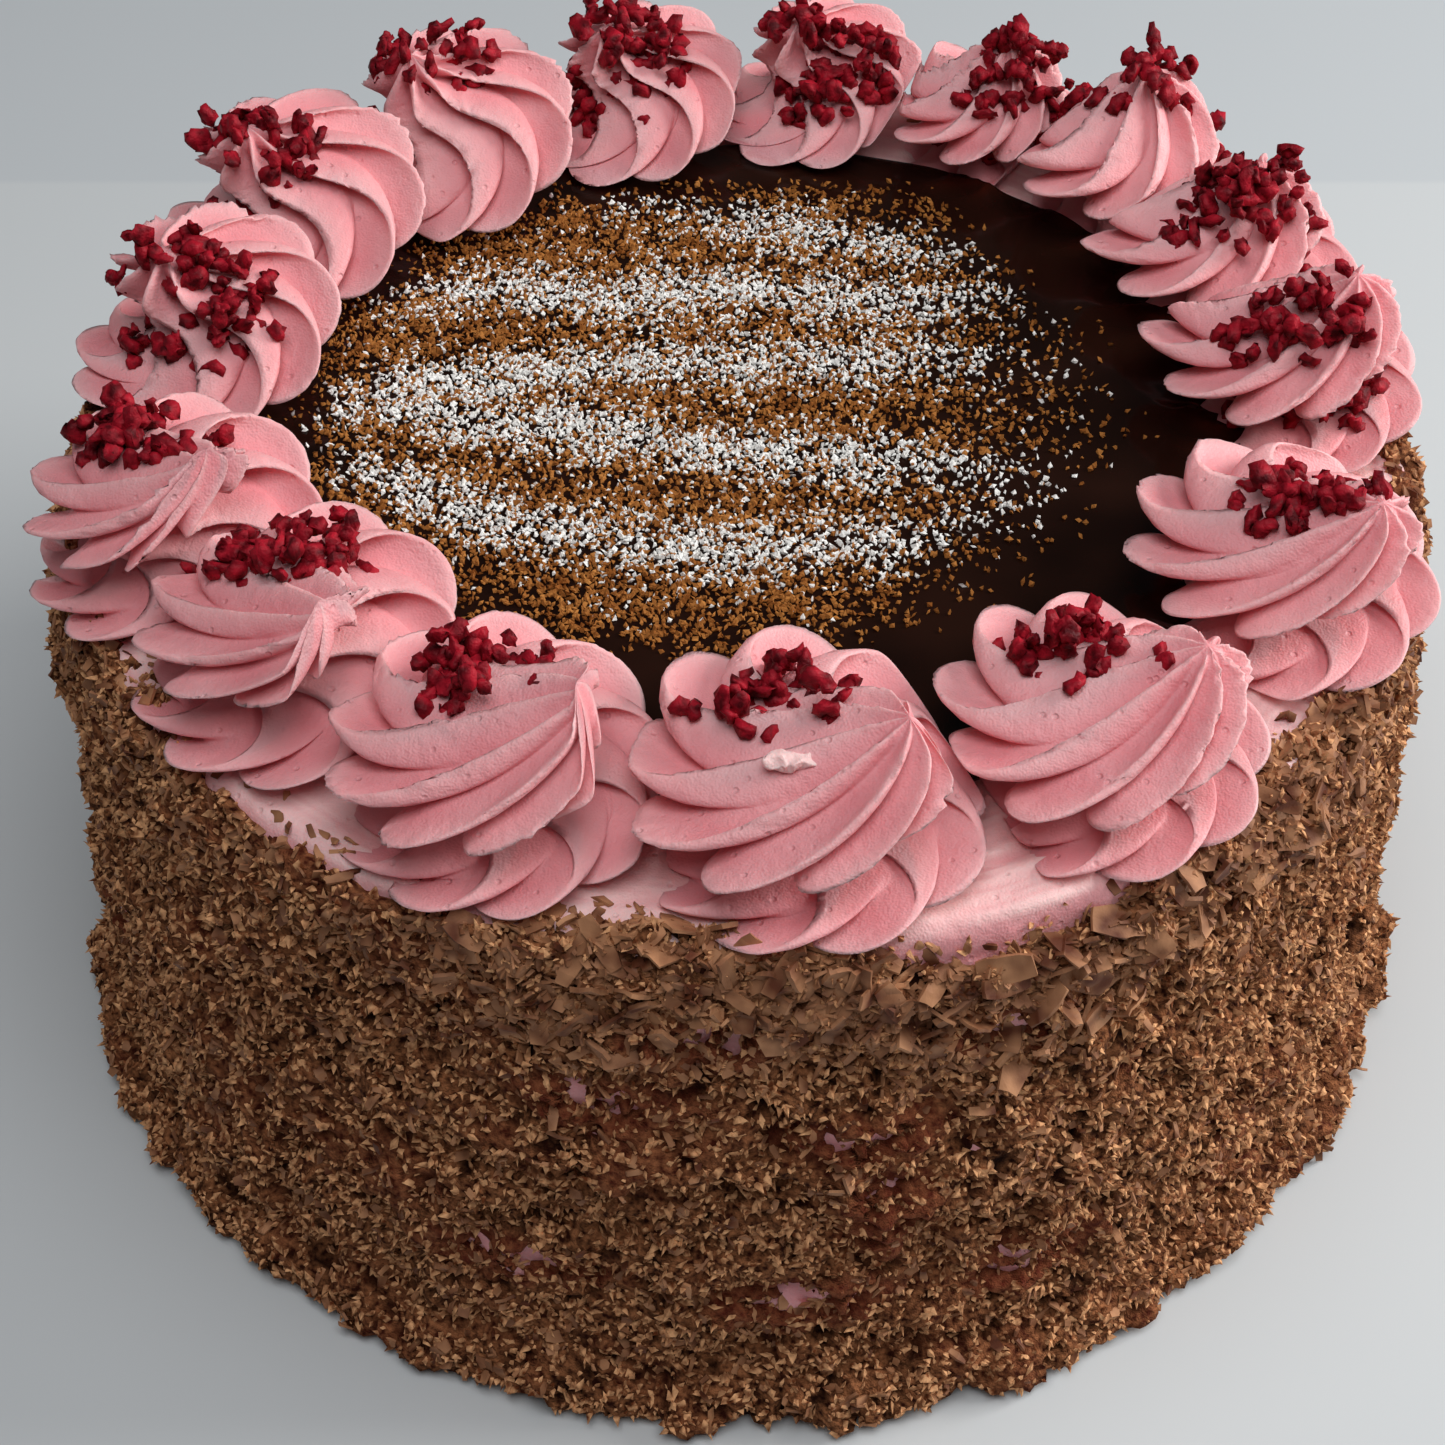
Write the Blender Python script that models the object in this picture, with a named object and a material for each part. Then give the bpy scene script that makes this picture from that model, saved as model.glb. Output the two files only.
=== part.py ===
"""Chocolate cake with a ring of piped buttercream rosettes.

Metres, +Z up. The origin is the centre of the underside and -Y is the front.
The cake is uncut, so it is one solid. Flakes of chocolate are fused to its
side, crumbs of dried raspberry to the rosettes, and a thin pool of glaze
lies on the top inside the ring.
"""
import math
import random

import bmesh
import bpy
import numpy as np
from mathutils import Matrix, Vector, noise
from mathutils.bvhtree import BVHTree

# Cake: sponge and buttercream under a coat of grated chocolate
CAKE_HEIGHT = 0.110
WALL_RADIUS_TOP = 0.1150
WALL_RADIUS_FOOT = 0.1185
WALL_FOOT_Z = 0.0155
WALL_TOP_Z = 0.1045
TOP_FLAT_RADIUS = 0.1105
UNDERSIDE_RADIUS = 0.1195
WALL_SEGMENTS = 76
WALL_ROWS = 10

# Crumbs gathered round the foot
SKIRT_RADIUS = 0.1235

# Unevenness of the chocolate coat
LUMP_SIZE = 0.0085
LUMP_DEPTH = 0.0028
PATCH_SIZE = 0.0300
PATCH_DEPTH = 0.0020
PATCH_SHIFT = Vector((7.0, 3.0, 1.0))
RELIEF_AT_TOP = 0.4
RELIEF_FADE = 6

# Profile of the foot and the top edge: radius, height and share of the relief
FOOT_PROFILE = (
    (UNDERSIDE_RADIUS, 0.0, 0.0),
    (SKIRT_RADIUS, 0.0025, 0.9),
    (SKIRT_RADIUS - 0.0010, 0.0070, 1.1),
    (SKIRT_RADIUS - 0.0034, 0.0100, 0.9),
    (WALL_RADIUS_FOOT - 0.0006, 0.0125, 0.5),
)
TOP_PROFILE = (
    (WALL_RADIUS_TOP - 0.0011, CAKE_HEIGHT - 0.0018, 0.2),
    (TOP_FLAT_RADIUS, CAKE_HEIGHT, 0.0),
)

# Ledges where the coat is thicker: angle, height of the lower edge, half width in degrees, depth
LEDGES = (
    (-92.0, 0.062, 20.0, 0.0022),
    (-72.0, 0.046, 12.0, 0.0026),
    (35.0, 0.055, 22.0, 0.0020),
    (150.0, 0.068, 18.0, 0.0022),
    (190.0, 0.080, 9.0, 0.0030),
)
LEDGE_RISE = 0.020
LEDGE_GRAIN = 0.012
LEDGE_WANDER = 0.004
LEDGE_LIP = (-0.002, 0.001)

# Larger flakes of chocolate: a band under the top edge, and the rest of the wall
GOLDEN_ANGLE = math.pi * (3.0 - math.sqrt(5.0))
EDGE_FLAKES = 34
EDGE_FLAKE_BAND = (CAKE_HEIGHT - 0.0065, CAKE_HEIGHT - 0.0125)
EDGE_FLAKE_SIZES = (0.80, 1.25)
WALL_FLAKES = 30
WALL_FLAKE_BAND = (WALL_FOOT_Z + 0.004, WALL_TOP_Z - 0.012)
WALL_FLAKE_SIZES = (0.60, 1.00)
FLAKE_STEPS = 2
FLAKE_NARROWING = 0.35
FLAKE_RAGGED = 0.12
FLAKE_LIFT = 0.0004
FLAKE_UPWARD = (-0.25, 0.45)
FLAKE_SIDEWAYS = 0.3
FLAKE_LENGTH = 0.0105
FLAKE_WIDTH = 0.0062
FLAKE_THICKNESS = 0.0012
FLAKE_CURL = 0.0016
FLAKE_SEED = 8

# Rosettes: angle round the cake, ring radius, width, height, direction and distance of the
# peak from the middle, how far the piping is swung round its middle, and where the raspberry
# lies from the middle (degrees and millimetres)
ROSETTES = (
    (-84.0, 88.5, 57.5, 24.5, -5.0, 15.0, 0.0, (-4.5, 9.5)),
    (-113.8, 90.5, 53.5, 25.5, -5.0, 16.0, 0.0, (0.0, 8.5)),
    (-140.0, 90.0, 54.0, 26.0, -50.0, 15.5, 0.0, (-1.5, 10.5)),
    (-162.5, 96.5, 50.0, 27.0, -34.0, 12.0, 0.0, (-3.5, 9.0)),
    (168.0, 94.5, 48.0, 26.0, -20.0, -6.0, -150.0, (-0.5, -3.0)),
    (147.0, 96.5, 50.5, 28.0, -25.0, -7.0, -150.0, (-5.5, 2.0)),
    (126.0, 91.5, 49.0, 28.5, -30.0, -7.0, -145.0, (-3.5, 8.0)),
    (102.5, 93.5, 44.0, 24.0, -35.0, -6.0, -140.0, (-2.0, 2.0)),
    (81.5, 97.5, 42.5, 22.5, -40.0, -4.0, -135.0, (3.5, -3.0)),
    (62.5, 100.5, 43.0, 22.5, 30.0, 5.0, 0.0, (7.0, -3.0)),
    (46.0, 101.0, 48.0, 26.0, 44.0, 6.0, 0.0, (6.5, 6.0)),
    (28.5, 97.0, 52.0, 25.0, 15.0, 7.0, 0.0, (3.0, -4.0)),
    (8.0, 93.5, 50.0, 26.0, 7.0, 11.0, 0.0, (3.0, -6.5)),
    (-24.7, 94.0, 52.0, 25.5, -18.0, 14.0, 0.0, (4.0, 3.5)),
    (-54.7, 93.0, 52.5, 23.5, 9.0, 15.0, 0.0, (-1.5, 7.5)),
)
MILLIMETRE = 0.001

# Form of a rosette: the rope's path as shares of its width and height, against the rise
RIDGES = 9
TURNS = 1.45
LAST_BEARING = math.radians(5.0)
ROPE_SHARE = 0.352
PATH_SHARE = 0.148
LAYER_SPLIT = 0.50
LAYER_HEIGHT = 0.40
UPPER_POWER = 1.15
PEAK_START = 0.72
TAPER_START = 0.475
TAPER_POWER = 3.3
FOOT_SHARE = 0.95
FOOT_RISE = 0.15
TILT = 0.22
DROOP = 0.12
LEANING = (0.20, 0.60)
LEVEL_OFF = (0.80, 1.0)
SLICE_HEIGHTS = (0.0, 0.10, 0.22, 0.34, 0.46, 0.58, 0.69, 0.79, 0.88, 0.95)

# The star of a slice: how deep its valleys are, and how far its points lean over
RIDGE_DEPTH = 0.46
RIDGE_POWER = 0.8
RIDGE_FADE = (0.90, 1.0)
HOOK = -0.30
HOOK_POWER = 1.5
HOOK_MIDDLE = 0.4

# How neighbouring rosettes press against each other
GAP = 0.0003
SEAM_MARGIN = 0.00005
PRESS_DEPTH = 0.0025
SEAM_LEAN = 0.60
SEAM_LEAN_Z = 0.008

# Crumbs of dried raspberry
CRUMBS_PER_ROSETTE = 6
CRUMB_RADIUS = 0.0030
CRUMB_SPREAD = 0.19
CRUMB_SIZES = (0.75, 1.2)
CRUMB_STRETCH = (1.25, 0.9, 0.85, 1.0)
CRUMB_LIFT = 0.45
CRUMB_ROOM = 1.7
CRUMB_SEED = 5
ABOVE_CAKE = 0.2

# Pool of glaze on the top, inside the ring
GLAZE_THICKNESS = 0.0020
GLAZE_RADIUS_MAX = 0.0790
GLAZE_POINTS = 90
GLAZE_CLEARANCE = 0.0004
GLAZE_REACH = 2
GLAZE_RISES = (0.0, 0.05, 0.10, 0.16, 0.22)
GLAZE_SAMPLES = 12


def clear_scene():
    """Remove what the file holds, so that only the cake is in it."""
    for item in list(bpy.data.objects):
        bpy.data.objects.remove(item, do_unlink=True)


def material(name, colour, roughness):
    """A plain finish for one sub-part."""
    made = bpy.data.materials.new(name)
    made.use_nodes = True
    shader = made.node_tree.nodes["Principled BSDF"]
    shader.inputs["Base Color"].default_value = (*colour, 1.0)
    shader.inputs["Roughness"].default_value = roughness
    shader.inputs["Metallic"].default_value = 0.0
    made.diffuse_color = (*colour, 1.0)
    return made


def smoothstep(low, high, value):
    """Rise from 0 to 1 between low and high."""
    share = np.clip((value - low) / (high - low), 0.0, 1.0)
    return share * share * (3.0 - 2.0 * share)


def add_object(name, mesh, finish):
    """Put a finished mesh in the scene under its node's name."""
    mesh.materials.append(finish)
    made = bpy.data.objects.new(name, mesh)
    bpy.context.scene.collection.objects.link(made)
    return made


def closed_loft(rings, name, first=None, last=None):
    """Skin stacked rings of equal count and close both ends.

    An end is a flat face, or a fan to the point that first or last gives.
    """
    shape = bmesh.new()
    loops = [[shape.verts.new(point) for point in ring] for ring in rings]
    count = len(loops[0])
    for lower, upper in zip(loops, loops[1:]):
        for i in range(count):
            j = (i + 1) % count
            shape.faces.new((lower[i], lower[j], upper[j], upper[i]))
    for loop, tip, order in ((loops[0], first, -1), (loops[-1], last, 1)):
        if tip is None:
            shape.faces.new(loop[::order])
            continue
        point = shape.verts.new(tip)
        for i in range(count):
            pair = (loop[i], loop[(i + 1) % count])[::order]
            shape.faces.new((*pair, point))
    bmesh.ops.recalc_face_normals(shape, faces=shape.faces)
    mesh = bpy.data.meshes.new(name)
    shape.to_mesh(mesh)
    shape.free()
    return mesh


def fuse(target, pieces):
    """Join small pieces to the solid that they lie on, and remove the originals."""
    group = bpy.data.collections.new(target.name + "_toppings")
    bpy.context.scene.collection.children.link(group)
    for piece in pieces:
        bpy.context.scene.collection.objects.unlink(piece)
        group.objects.link(piece)
    union = target.modifiers.new("Union", "BOOLEAN")
    union.operation = "UNION"
    union.operand_type = "COLLECTION"
    union.collection = group
    union.solver = "EXACT"
    evaluated = target.evaluated_get(bpy.context.evaluated_depsgraph_get())
    joined = bpy.data.meshes.new_from_object(evaluated)
    target.modifiers.clear()
    target.data = joined
    for piece in pieces:
        bpy.data.objects.remove(piece, do_unlink=True)
    bpy.data.collections.remove(group)
    drop_scraps(joined)


def drop_scraps(mesh):
    """Keep only the largest body of a mesh, whose faces meet two at an edge."""
    shape = bmesh.new()
    shape.from_mesh(mesh)
    bmesh.ops.remove_doubles(shape, verts=shape.verts, dist=0.00002)
    bmesh.ops.dissolve_degenerate(shape, edges=shape.edges, dist=0.00002)
    bmesh.ops.triangulate(shape, faces=shape.faces)
    left = set(shape.faces)
    bodies = []
    while left:
        front = [left.pop()]
        found = list(front)
        while front:
            edges = {edge for face in front for edge in face.edges if len(edge.link_faces) == 2}
            near = {face for edge in edges for face in edge.link_faces}
            front = [face for face in near if face in left]
            left.difference_update(front)
            found.extend(front)
        bodies.append(found)
    bodies.sort(key=len)
    for scrap in bodies[:-1]:
        bmesh.ops.delete(shape, geom=scrap, context="FACES")
    bmesh.ops.recalc_face_normals(shape, faces=shape.faces)
    shape.to_mesh(mesh)
    shape.free()


def coat_relief(angle, height):
    """How far the chocolate coat stands out from the plain wall at one place."""
    place = Vector((math.cos(angle), math.sin(angle), 0.0)) * WALL_RADIUS_TOP
    place.z = height
    lumps = noise.noise(place / LUMP_SIZE) * LUMP_DEPTH
    patches = noise.noise(place / PATCH_SIZE + PATCH_SHIFT) * PATCH_DEPTH
    ledge = 0.0
    for centre, edge, half_width, depth in LEDGES:
        turn = (math.degrees(angle) - centre + 180.0) % 360.0 - 180.0
        across = max(0.0, 1.0 - (turn / half_width) ** 2)
        ragged = edge + noise.noise(place / LEDGE_GRAIN) * LEDGE_WANDER
        up = float(smoothstep(ragged + LEDGE_LIP[0], ragged + LEDGE_LIP[1], height))
        down = 1.0 - float(smoothstep(ragged + 0.5 * LEDGE_RISE, ragged + LEDGE_RISE, height))
        ledge += depth * across * up * down
    return lumps + patches + ledge


def wall_radius(height):
    """Radius of the plain wall, which leans in a little towards the top."""
    share = (height - WALL_FOOT_Z) / (WALL_TOP_Z - WALL_FOOT_Z)
    return WALL_RADIUS_FOOT + share * (WALL_RADIUS_TOP - WALL_RADIUS_FOOT)


def body_profile():
    """Rings of the cake from the underside to the top: radius, height and share of relief."""
    rows = list(FOOT_PROFILE)
    for share in np.linspace(0.0, 1.0, WALL_ROWS):
        height = WALL_FOOT_Z + share * (WALL_TOP_Z - WALL_FOOT_Z)
        relief = 1.0 - (1.0 - RELIEF_AT_TOP) * share ** RELIEF_FADE
        rows.append((wall_radius(height), height, relief))
    return rows + list(TOP_PROFILE)


def cake_solid():
    """The uncut cake: a turned body with the uneven relief of its coat."""
    rings = []
    for number, (radius, height, share) in enumerate(body_profile()):
        ring = []
        for step in range(WALL_SEGMENTS):
            angle = 2.0 * math.pi * (step + 0.5 * (number % 2)) / WALL_SEGMENTS
            reach = radius + share * coat_relief(angle, height)
            ring.append((reach * math.cos(angle), reach * math.sin(angle), height))
        rings.append(ring)
    return closed_loft(rings, "cake_body", first=(0.0, 0.0, 0.0), last=(0.0, 0.0, CAKE_HEIGHT))


def flake(number, place, facing, spin, size, chance):
    """One curved flake of chocolate, thin, with its broad face towards facing."""
    length = FLAKE_LENGTH * size
    width = FLAKE_WIDTH * size
    sections = []
    for step in range(FLAKE_STEPS + 1):
        along = step / FLAKE_STEPS - 0.5
        lift = FLAKE_CURL * size * (1.0 - 4.0 * along * along)
        narrowed = FLAKE_NARROWING * abs(along) + FLAKE_RAGGED * chance.random()
        half = 0.5 * width * (1.0 - narrowed)
        thick = 0.5 * FLAKE_THICKNESS
        corners = ((-half, -thick), (half, -thick), (half, thick), (-half, thick))
        sections.append([(along * length, across, lift + deep) for across, deep in corners])
    mesh = closed_loft(sections, f"flake_{number}")
    turn = facing.to_track_quat("Z", "Y").to_matrix().to_4x4() @ Matrix.Rotation(spin, 4, "Z")
    mesh.transform(Matrix.Translation(place) @ turn)
    made = bpy.data.objects.new(f"flake_{number}", mesh)
    bpy.context.scene.collection.objects.link(made)
    return made


def flakes_on_cake():
    """Larger flakes: a band round the top edge and others spread over the wall."""
    chance = random.Random(FLAKE_SEED)
    made = []
    for number in range(EDGE_FLAKES + WALL_FLAKES):
        if number < EDGE_FLAKES:
            angle = 2.0 * math.pi * (number + 0.5 * chance.random()) / EDGE_FLAKES
            height = chance.uniform(*EDGE_FLAKE_BAND)
            size = chance.uniform(*EDGE_FLAKE_SIZES)
        else:
            angle = number * GOLDEN_ANGLE
            step = (number - EDGE_FLAKES + 0.5) / WALL_FLAKES
            low, high = WALL_FLAKE_BAND
            height = low + step * (high - low)
            size = chance.uniform(*WALL_FLAKE_SIZES)
        reach = wall_radius(height) + coat_relief(angle, height) + FLAKE_LIFT
        place = Vector((reach * math.cos(angle), reach * math.sin(angle), height))
        aside = [chance.uniform(-FLAKE_SIDEWAYS, FLAKE_SIDEWAYS) for _ in range(2)]
        facing = Vector((math.cos(angle), math.sin(angle), chance.uniform(*FLAKE_UPWARD)))
        facing += Vector((*aside, 0.0))
        spin = chance.uniform(0.0, math.pi)
        made.append(flake(number, place, facing.normalized(), spin, size, chance))
    return made


def star(rise, turn):
    """Reach and bearing round a slice, whose points lean over clockwise."""
    ridge = (0.5 + 0.5 * np.cos(RIDGES * turn)) ** RIDGE_POWER
    depth = RIDGE_DEPTH * (1.0 - 0.5 * smoothstep(*RIDGE_FADE, rise))
    lean = HOOK * (ridge ** HOOK_POWER - HOOK_MIDDLE) * (1.0 - smoothstep(*LEVEL_OFF, rise))
    return 1.0 - depth * (1.0 - ridge), turn + lean


def rosette_slices(width, height, lean, distance, swing, heights, around):
    """Star-shaped slices of a piped rosette, each at its own height.

    The middle of a slice follows the turning nozzle and ends at the peak. The x axis of
    the slices points to the peak before the whole is turned to lean.
    """
    rise = np.array(heights)[:, None]
    turn = np.linspace(0.0, 2.0 * math.pi, around, endpoint=False)[None, :]
    lower = LAYER_HEIGHT * np.minimum(rise / LAYER_SPLIT, 1.0)
    upper = np.clip((rise - LAYER_SPLIT) / (1.0 - LAYER_SPLIT), 0.0, 1.0) ** UPPER_POWER
    z = height * (lower + (1.0 - LAYER_HEIGHT) * upper)
    nozzle = LAST_BEARING + swing - 2.0 * math.pi * TURNS * (1.0 - rise)
    to_peak = smoothstep(PEAK_START, 1.0, rise)
    path = PATH_SHARE * width * (1.0 - to_peak)
    taper = np.clip((rise - TAPER_START) / (1.0 - TAPER_START), 0.0, 1.0) ** TAPER_POWER
    rope = ROPE_SHARE * width * (1.0 - taper)
    rope = rope * (FOOT_SHARE + (1.0 - FOOT_SHARE) * smoothstep(0.0, FOOT_RISE, rise))
    share, bearing = star(rise, turn)
    reach = rope * share
    x = path * np.cos(nozzle) + distance * to_peak + reach * np.cos(bearing)
    y = path * np.sin(nozzle) + reach * np.sin(bearing)
    live = smoothstep(*LEANING, rise)
    z = z - DROOP * reach * (1.0 - rise) * live
    z = z + TILT * y * live * (1.0 - smoothstep(*LEVEL_OFF, rise))
    cosine = math.cos(lean)
    sine = math.sin(lean)
    return np.stack([x * cosine - y * sine, x * sine + y * cosine, z], axis=-1)


def on_ring(angle, ring):
    """A level offset from the axis, at an angle in degrees and a radius in millimetres."""
    turn = math.radians(angle)
    return Vector((math.cos(turn), math.sin(turn), 0.0)) * ring * MILLIMETRE


def seam_planes():
    """The planes between neighbouring rosettes: a point, and a normal that points ccw.

    Each plane stands between two rosettes and leans, so that the upper swirl of one lies
    over the foot of the next.
    """
    planes = []
    count = len(ROSETTES)
    ordered = sorted(range(count), key=lambda index: ROSETTES[index][0] % 360.0)
    for position, index in enumerate(ordered):
        following = ordered[(position + 1) % count]
        first = ROSETTES[index]
        second = ROSETTES[following]
        sweep = (second[0] - first[0]) % 360.0
        middle = first[0] + sweep * first[2] / (first[2] + second[2])
        point = on_ring(middle, 0.5 * (first[1] + second[1]))
        point.z = CAKE_HEIGHT + SEAM_LEAN_Z
        turn = math.radians(middle)
        normal = Vector((-math.sin(turn), math.cos(turn), SEAM_LEAN)).normalized()
        planes.append((index, following, point, normal))
    return planes


def press(points, point, normal, side):
    """Squeeze points towards one side of a plane, so that none crosses it."""
    normal = np.array(normal)
    level = np.array([normal[0], normal[1], 0.0])
    away = side * ((points - np.array(point)) @ normal)
    limit = 0.5 * GAP + SEAM_MARGIN
    pressed = limit + PRESS_DEPTH * np.exp((away - limit - PRESS_DEPTH) / PRESS_DEPTH)
    target = np.where(away < limit + PRESS_DEPTH, pressed, away)
    shift = side * (target - away) / (level @ level)
    return points + shift[..., None] * level


def placed_slices(index, heights, around):
    """The slices of one rosette, on the cake and pressed by its neighbours."""
    angle, ring, width, height, lean, distance, swing, _ = ROSETTES[index]
    slices = rosette_slices(
        width * MILLIMETRE, height * MILLIMETRE, math.radians(lean), distance * MILLIMETRE,
        math.radians(swing), heights, around)
    slices = slices + np.array(on_ring(angle, ring)) + np.array([0.0, 0.0, CAKE_HEIGHT + GAP])
    for before, after, point, normal in seam_planes():
        if before == index:
            slices = press(slices, point, normal, -1.0)
        if after == index:
            slices = press(slices, point, normal, 1.0)
    return slices


def rosette(index, name, finish):
    """One piped rosette, closed by a flat foot and a pointed peak."""
    slices = placed_slices(index, SLICE_HEIGHTS, 2 * RIDGES)
    peak = placed_slices(index, (1.0,), 2 * RIDGES)[0].mean(axis=0)
    mesh = closed_loft(slices.tolist(), name, last=peak.tolist())
    return add_object(name, mesh, finish)


def raspberry_crumb(name, place, radius, chance):
    """An uneven crumb with few faces."""
    shape = bmesh.new()
    bmesh.ops.create_uvsphere(shape, u_segments=5, v_segments=2, radius=radius)
    for vert in shape.verts:
        vert.co *= chance.uniform(*CRUMB_SIZES)
    turn = Matrix.Rotation(chance.uniform(0.0, math.pi), 4, "X")
    turn = turn @ Matrix.Rotation(chance.uniform(0.0, math.pi), 4, "Z")
    stretch = Matrix.Diagonal(CRUMB_STRETCH)
    bmesh.ops.transform(shape, matrix=Matrix.Translation(place) @ turn @ stretch, verts=shape.verts)
    mesh = bpy.data.meshes.new(name)
    shape.to_mesh(mesh)
    shape.free()
    made = bpy.data.objects.new(name, mesh)
    bpy.context.scene.collection.objects.link(made)
    return made


def crumbs_on(base, index):
    """Crumbs of raspberry heaped near the top of one rosette."""
    chance = random.Random(CRUMB_SEED + index)
    angle, ring, width, _, _, _, _, heap = ROSETTES[index]
    middle = on_ring(angle, ring) + Vector((*heap, 0.0)) * MILLIMETRE
    tree = BVHTree.FromObject(base, bpy.context.evaluated_depsgraph_get())
    planes = [plane for plane in seam_planes() if index in plane[:2]]
    spread = CRUMB_SPREAD * width * MILLIMETRE
    made = []
    for number in range(CRUMBS_PER_ROSETTE):
        bearing = number * GOLDEN_ANGLE + index
        out = spread * math.sqrt((number + 0.4) / CRUMBS_PER_ROSETTE)
        radius = CRUMB_RADIUS * chance.uniform(*CRUMB_SIZES)
        away = Vector((math.cos(bearing), math.sin(bearing), 0.0)) * out
        above = middle + away + Vector((0.0, 0.0, ABOVE_CAKE))
        hit, _, _, _ = tree.ray_cast(above, Vector((0.0, 0.0, -1.0)))
        if hit is None:
            continue
        place = hit + Vector((0.0, 0.0, CRUMB_LIFT * radius))
        room = min(abs((place - point).dot(normal)) for _, _, point, normal in planes)
        if room < CRUMB_ROOM * radius:
            continue
        made.append(raspberry_crumb(f"crumb_{index}_{number}", place, radius, chance))
    return made


def glaze_limits():
    """How far out the pool can reach at each of its angles before it meets a rosette."""
    limits = np.full(GLAZE_POINTS, GLAZE_RADIUS_MAX)
    for index in range(len(ROSETTES)):
        ring_points = placed_slices(index, GLAZE_RISES, 2 * RIDGES)
        following = np.roll(ring_points, -1, axis=1)
        for share in np.linspace(0.0, 1.0, GLAZE_SAMPLES):
            points = ring_points + share * (following - ring_points)
            radii = np.hypot(points[..., 0], points[..., 1]).ravel()
            angles = np.arctan2(points[..., 1], points[..., 0]).ravel()
            slots = np.round(angles / (2.0 * math.pi) * GLAZE_POINTS).astype(int) % GLAZE_POINTS
            np.minimum.at(limits, slots, radii)
    near = [np.roll(limits, step) for step in range(1 - GLAZE_REACH, GLAZE_REACH)]
    return np.minimum.reduce(near) - GLAZE_CLEARANCE


def glaze_pool(finish):
    """The thin pool of glaze, with an edge that follows the rosettes."""
    limits = glaze_limits()
    rings = []
    for height in (CAKE_HEIGHT + GAP, CAKE_HEIGHT + GAP + GLAZE_THICKNESS):
        ring = []
        for step, radius in enumerate(limits):
            angle = 2.0 * math.pi * step / GLAZE_POINTS
            ring.append((radius * math.cos(angle), radius * math.sin(angle), height))
        rings.append(ring)
    return add_object("chocolate_glaze", closed_loft(rings, "chocolate_glaze"), finish)


def build():
    """Make every piece of the cake."""
    clear_scene()
    chocolate = material("grated_chocolate", (0.150, 0.085, 0.055), 0.85)
    buttercream = material("pink_buttercream", (0.800, 0.300, 0.360), 0.55)
    glaze = material("dark_glaze", (0.020, 0.008, 0.006), 0.12)
    cake = add_object("cake_body", cake_solid(), chocolate)
    fuse(cake, flakes_on_cake())
    glaze_pool(glaze)
    for index in range(len(ROSETTES)):
        piped = rosette(index, f"rosette_{index + 1:02d}", buttercream)
        bpy.context.view_layer.update()
        fuse(piped, crumbs_on(piped, index))


build()
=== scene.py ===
# %% [markdown]
# # A chocolate cake with piped rosettes
#
# The cake is a tall round one, covered in pink buttercream. Its side is coated with
# grated milk chocolate, a pool of dark glaze lies on the top, and a ring of piped
# rosettes stands round the pool with crumbs of dried raspberry on them.
#
# The solids of the cake come first, as a fixed frame in metres with +Z up. Everything
# below is dressed on that frame: each piece either replaces a solid and keeps its form,
# or lies on one.

# %% Load the frame
import math
from typing import NamedTuple

import bmesh
import bpy
import numpy as np
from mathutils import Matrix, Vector, noise


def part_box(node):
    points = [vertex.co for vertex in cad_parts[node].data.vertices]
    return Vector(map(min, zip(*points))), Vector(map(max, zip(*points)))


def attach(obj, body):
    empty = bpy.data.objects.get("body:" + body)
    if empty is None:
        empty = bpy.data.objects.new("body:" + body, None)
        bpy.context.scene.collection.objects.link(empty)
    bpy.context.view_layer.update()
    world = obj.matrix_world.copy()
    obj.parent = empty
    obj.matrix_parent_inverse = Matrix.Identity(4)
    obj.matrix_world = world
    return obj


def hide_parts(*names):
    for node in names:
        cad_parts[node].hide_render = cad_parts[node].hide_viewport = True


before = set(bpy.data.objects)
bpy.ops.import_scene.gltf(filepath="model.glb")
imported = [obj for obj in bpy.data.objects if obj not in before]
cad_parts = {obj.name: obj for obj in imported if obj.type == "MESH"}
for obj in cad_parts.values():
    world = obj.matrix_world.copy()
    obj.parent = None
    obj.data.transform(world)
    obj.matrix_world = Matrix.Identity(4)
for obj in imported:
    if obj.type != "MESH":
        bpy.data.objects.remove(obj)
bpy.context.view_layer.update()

cake_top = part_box("cake_body")[1][2]
scene = bpy.context.scene
print("solids:", len(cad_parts), "top of the cake at", round(cake_top, 4), "m")

# %% [markdown]
# ## The camera
#
# The photograph looks down at the cake from the front at about 45 degrees. The focal
# length is known from how fast the ring of rosettes narrows with distance. A camera
# that circles a point near the middle of the cake, with no shift, gives the same frame.

# %% The camera
IMAGE_SIDE = 1445
FOCAL_PIXELS = 3000
CAMERA_ELEVATION = math.radians(44.89)
CAMERA_DISTANCE = 0.53475
LOOK_AT = Vector((-0.0031, -0.0163, 0.0600))

lens = bpy.data.cameras.new("camera")
lens.sensor_width = 36.0
lens.lens = FOCAL_PIXELS / IMAGE_SIDE * lens.sensor_width
lens.dof.use_dof = False
camera = bpy.data.objects.new("camera", lens)
back_up = Vector((0.0, -math.cos(CAMERA_ELEVATION), math.sin(CAMERA_ELEVATION)))
camera.location = LOOK_AT + CAMERA_DISTANCE * back_up
camera.rotation_euler = (math.radians(90.0) - CAMERA_ELEVATION, 0.0, 0.0)
scene.collection.objects.link(camera)
scene.camera = camera
print("camera: lens", round(lens.lens, 1), "mm at", [round(v, 3) for v in camera.location])

# %% [markdown]
# ## A way to write node trees as formulas
#
# Much of this cake follows rules: a rosette is a star nozzle's path, the coat is a
# thickness over a wall, and crumbs are scattered. Geometry Nodes suit all of these. A
# tree of maths nodes is hard to read when it is built node by node, so a few small
# classes let the script write it as plain formulas.

# %% Formulas
def operation(name):
    """A method that adds one maths node and gives its result."""
    return lambda field, *others: field.apply(name, *others)


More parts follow.
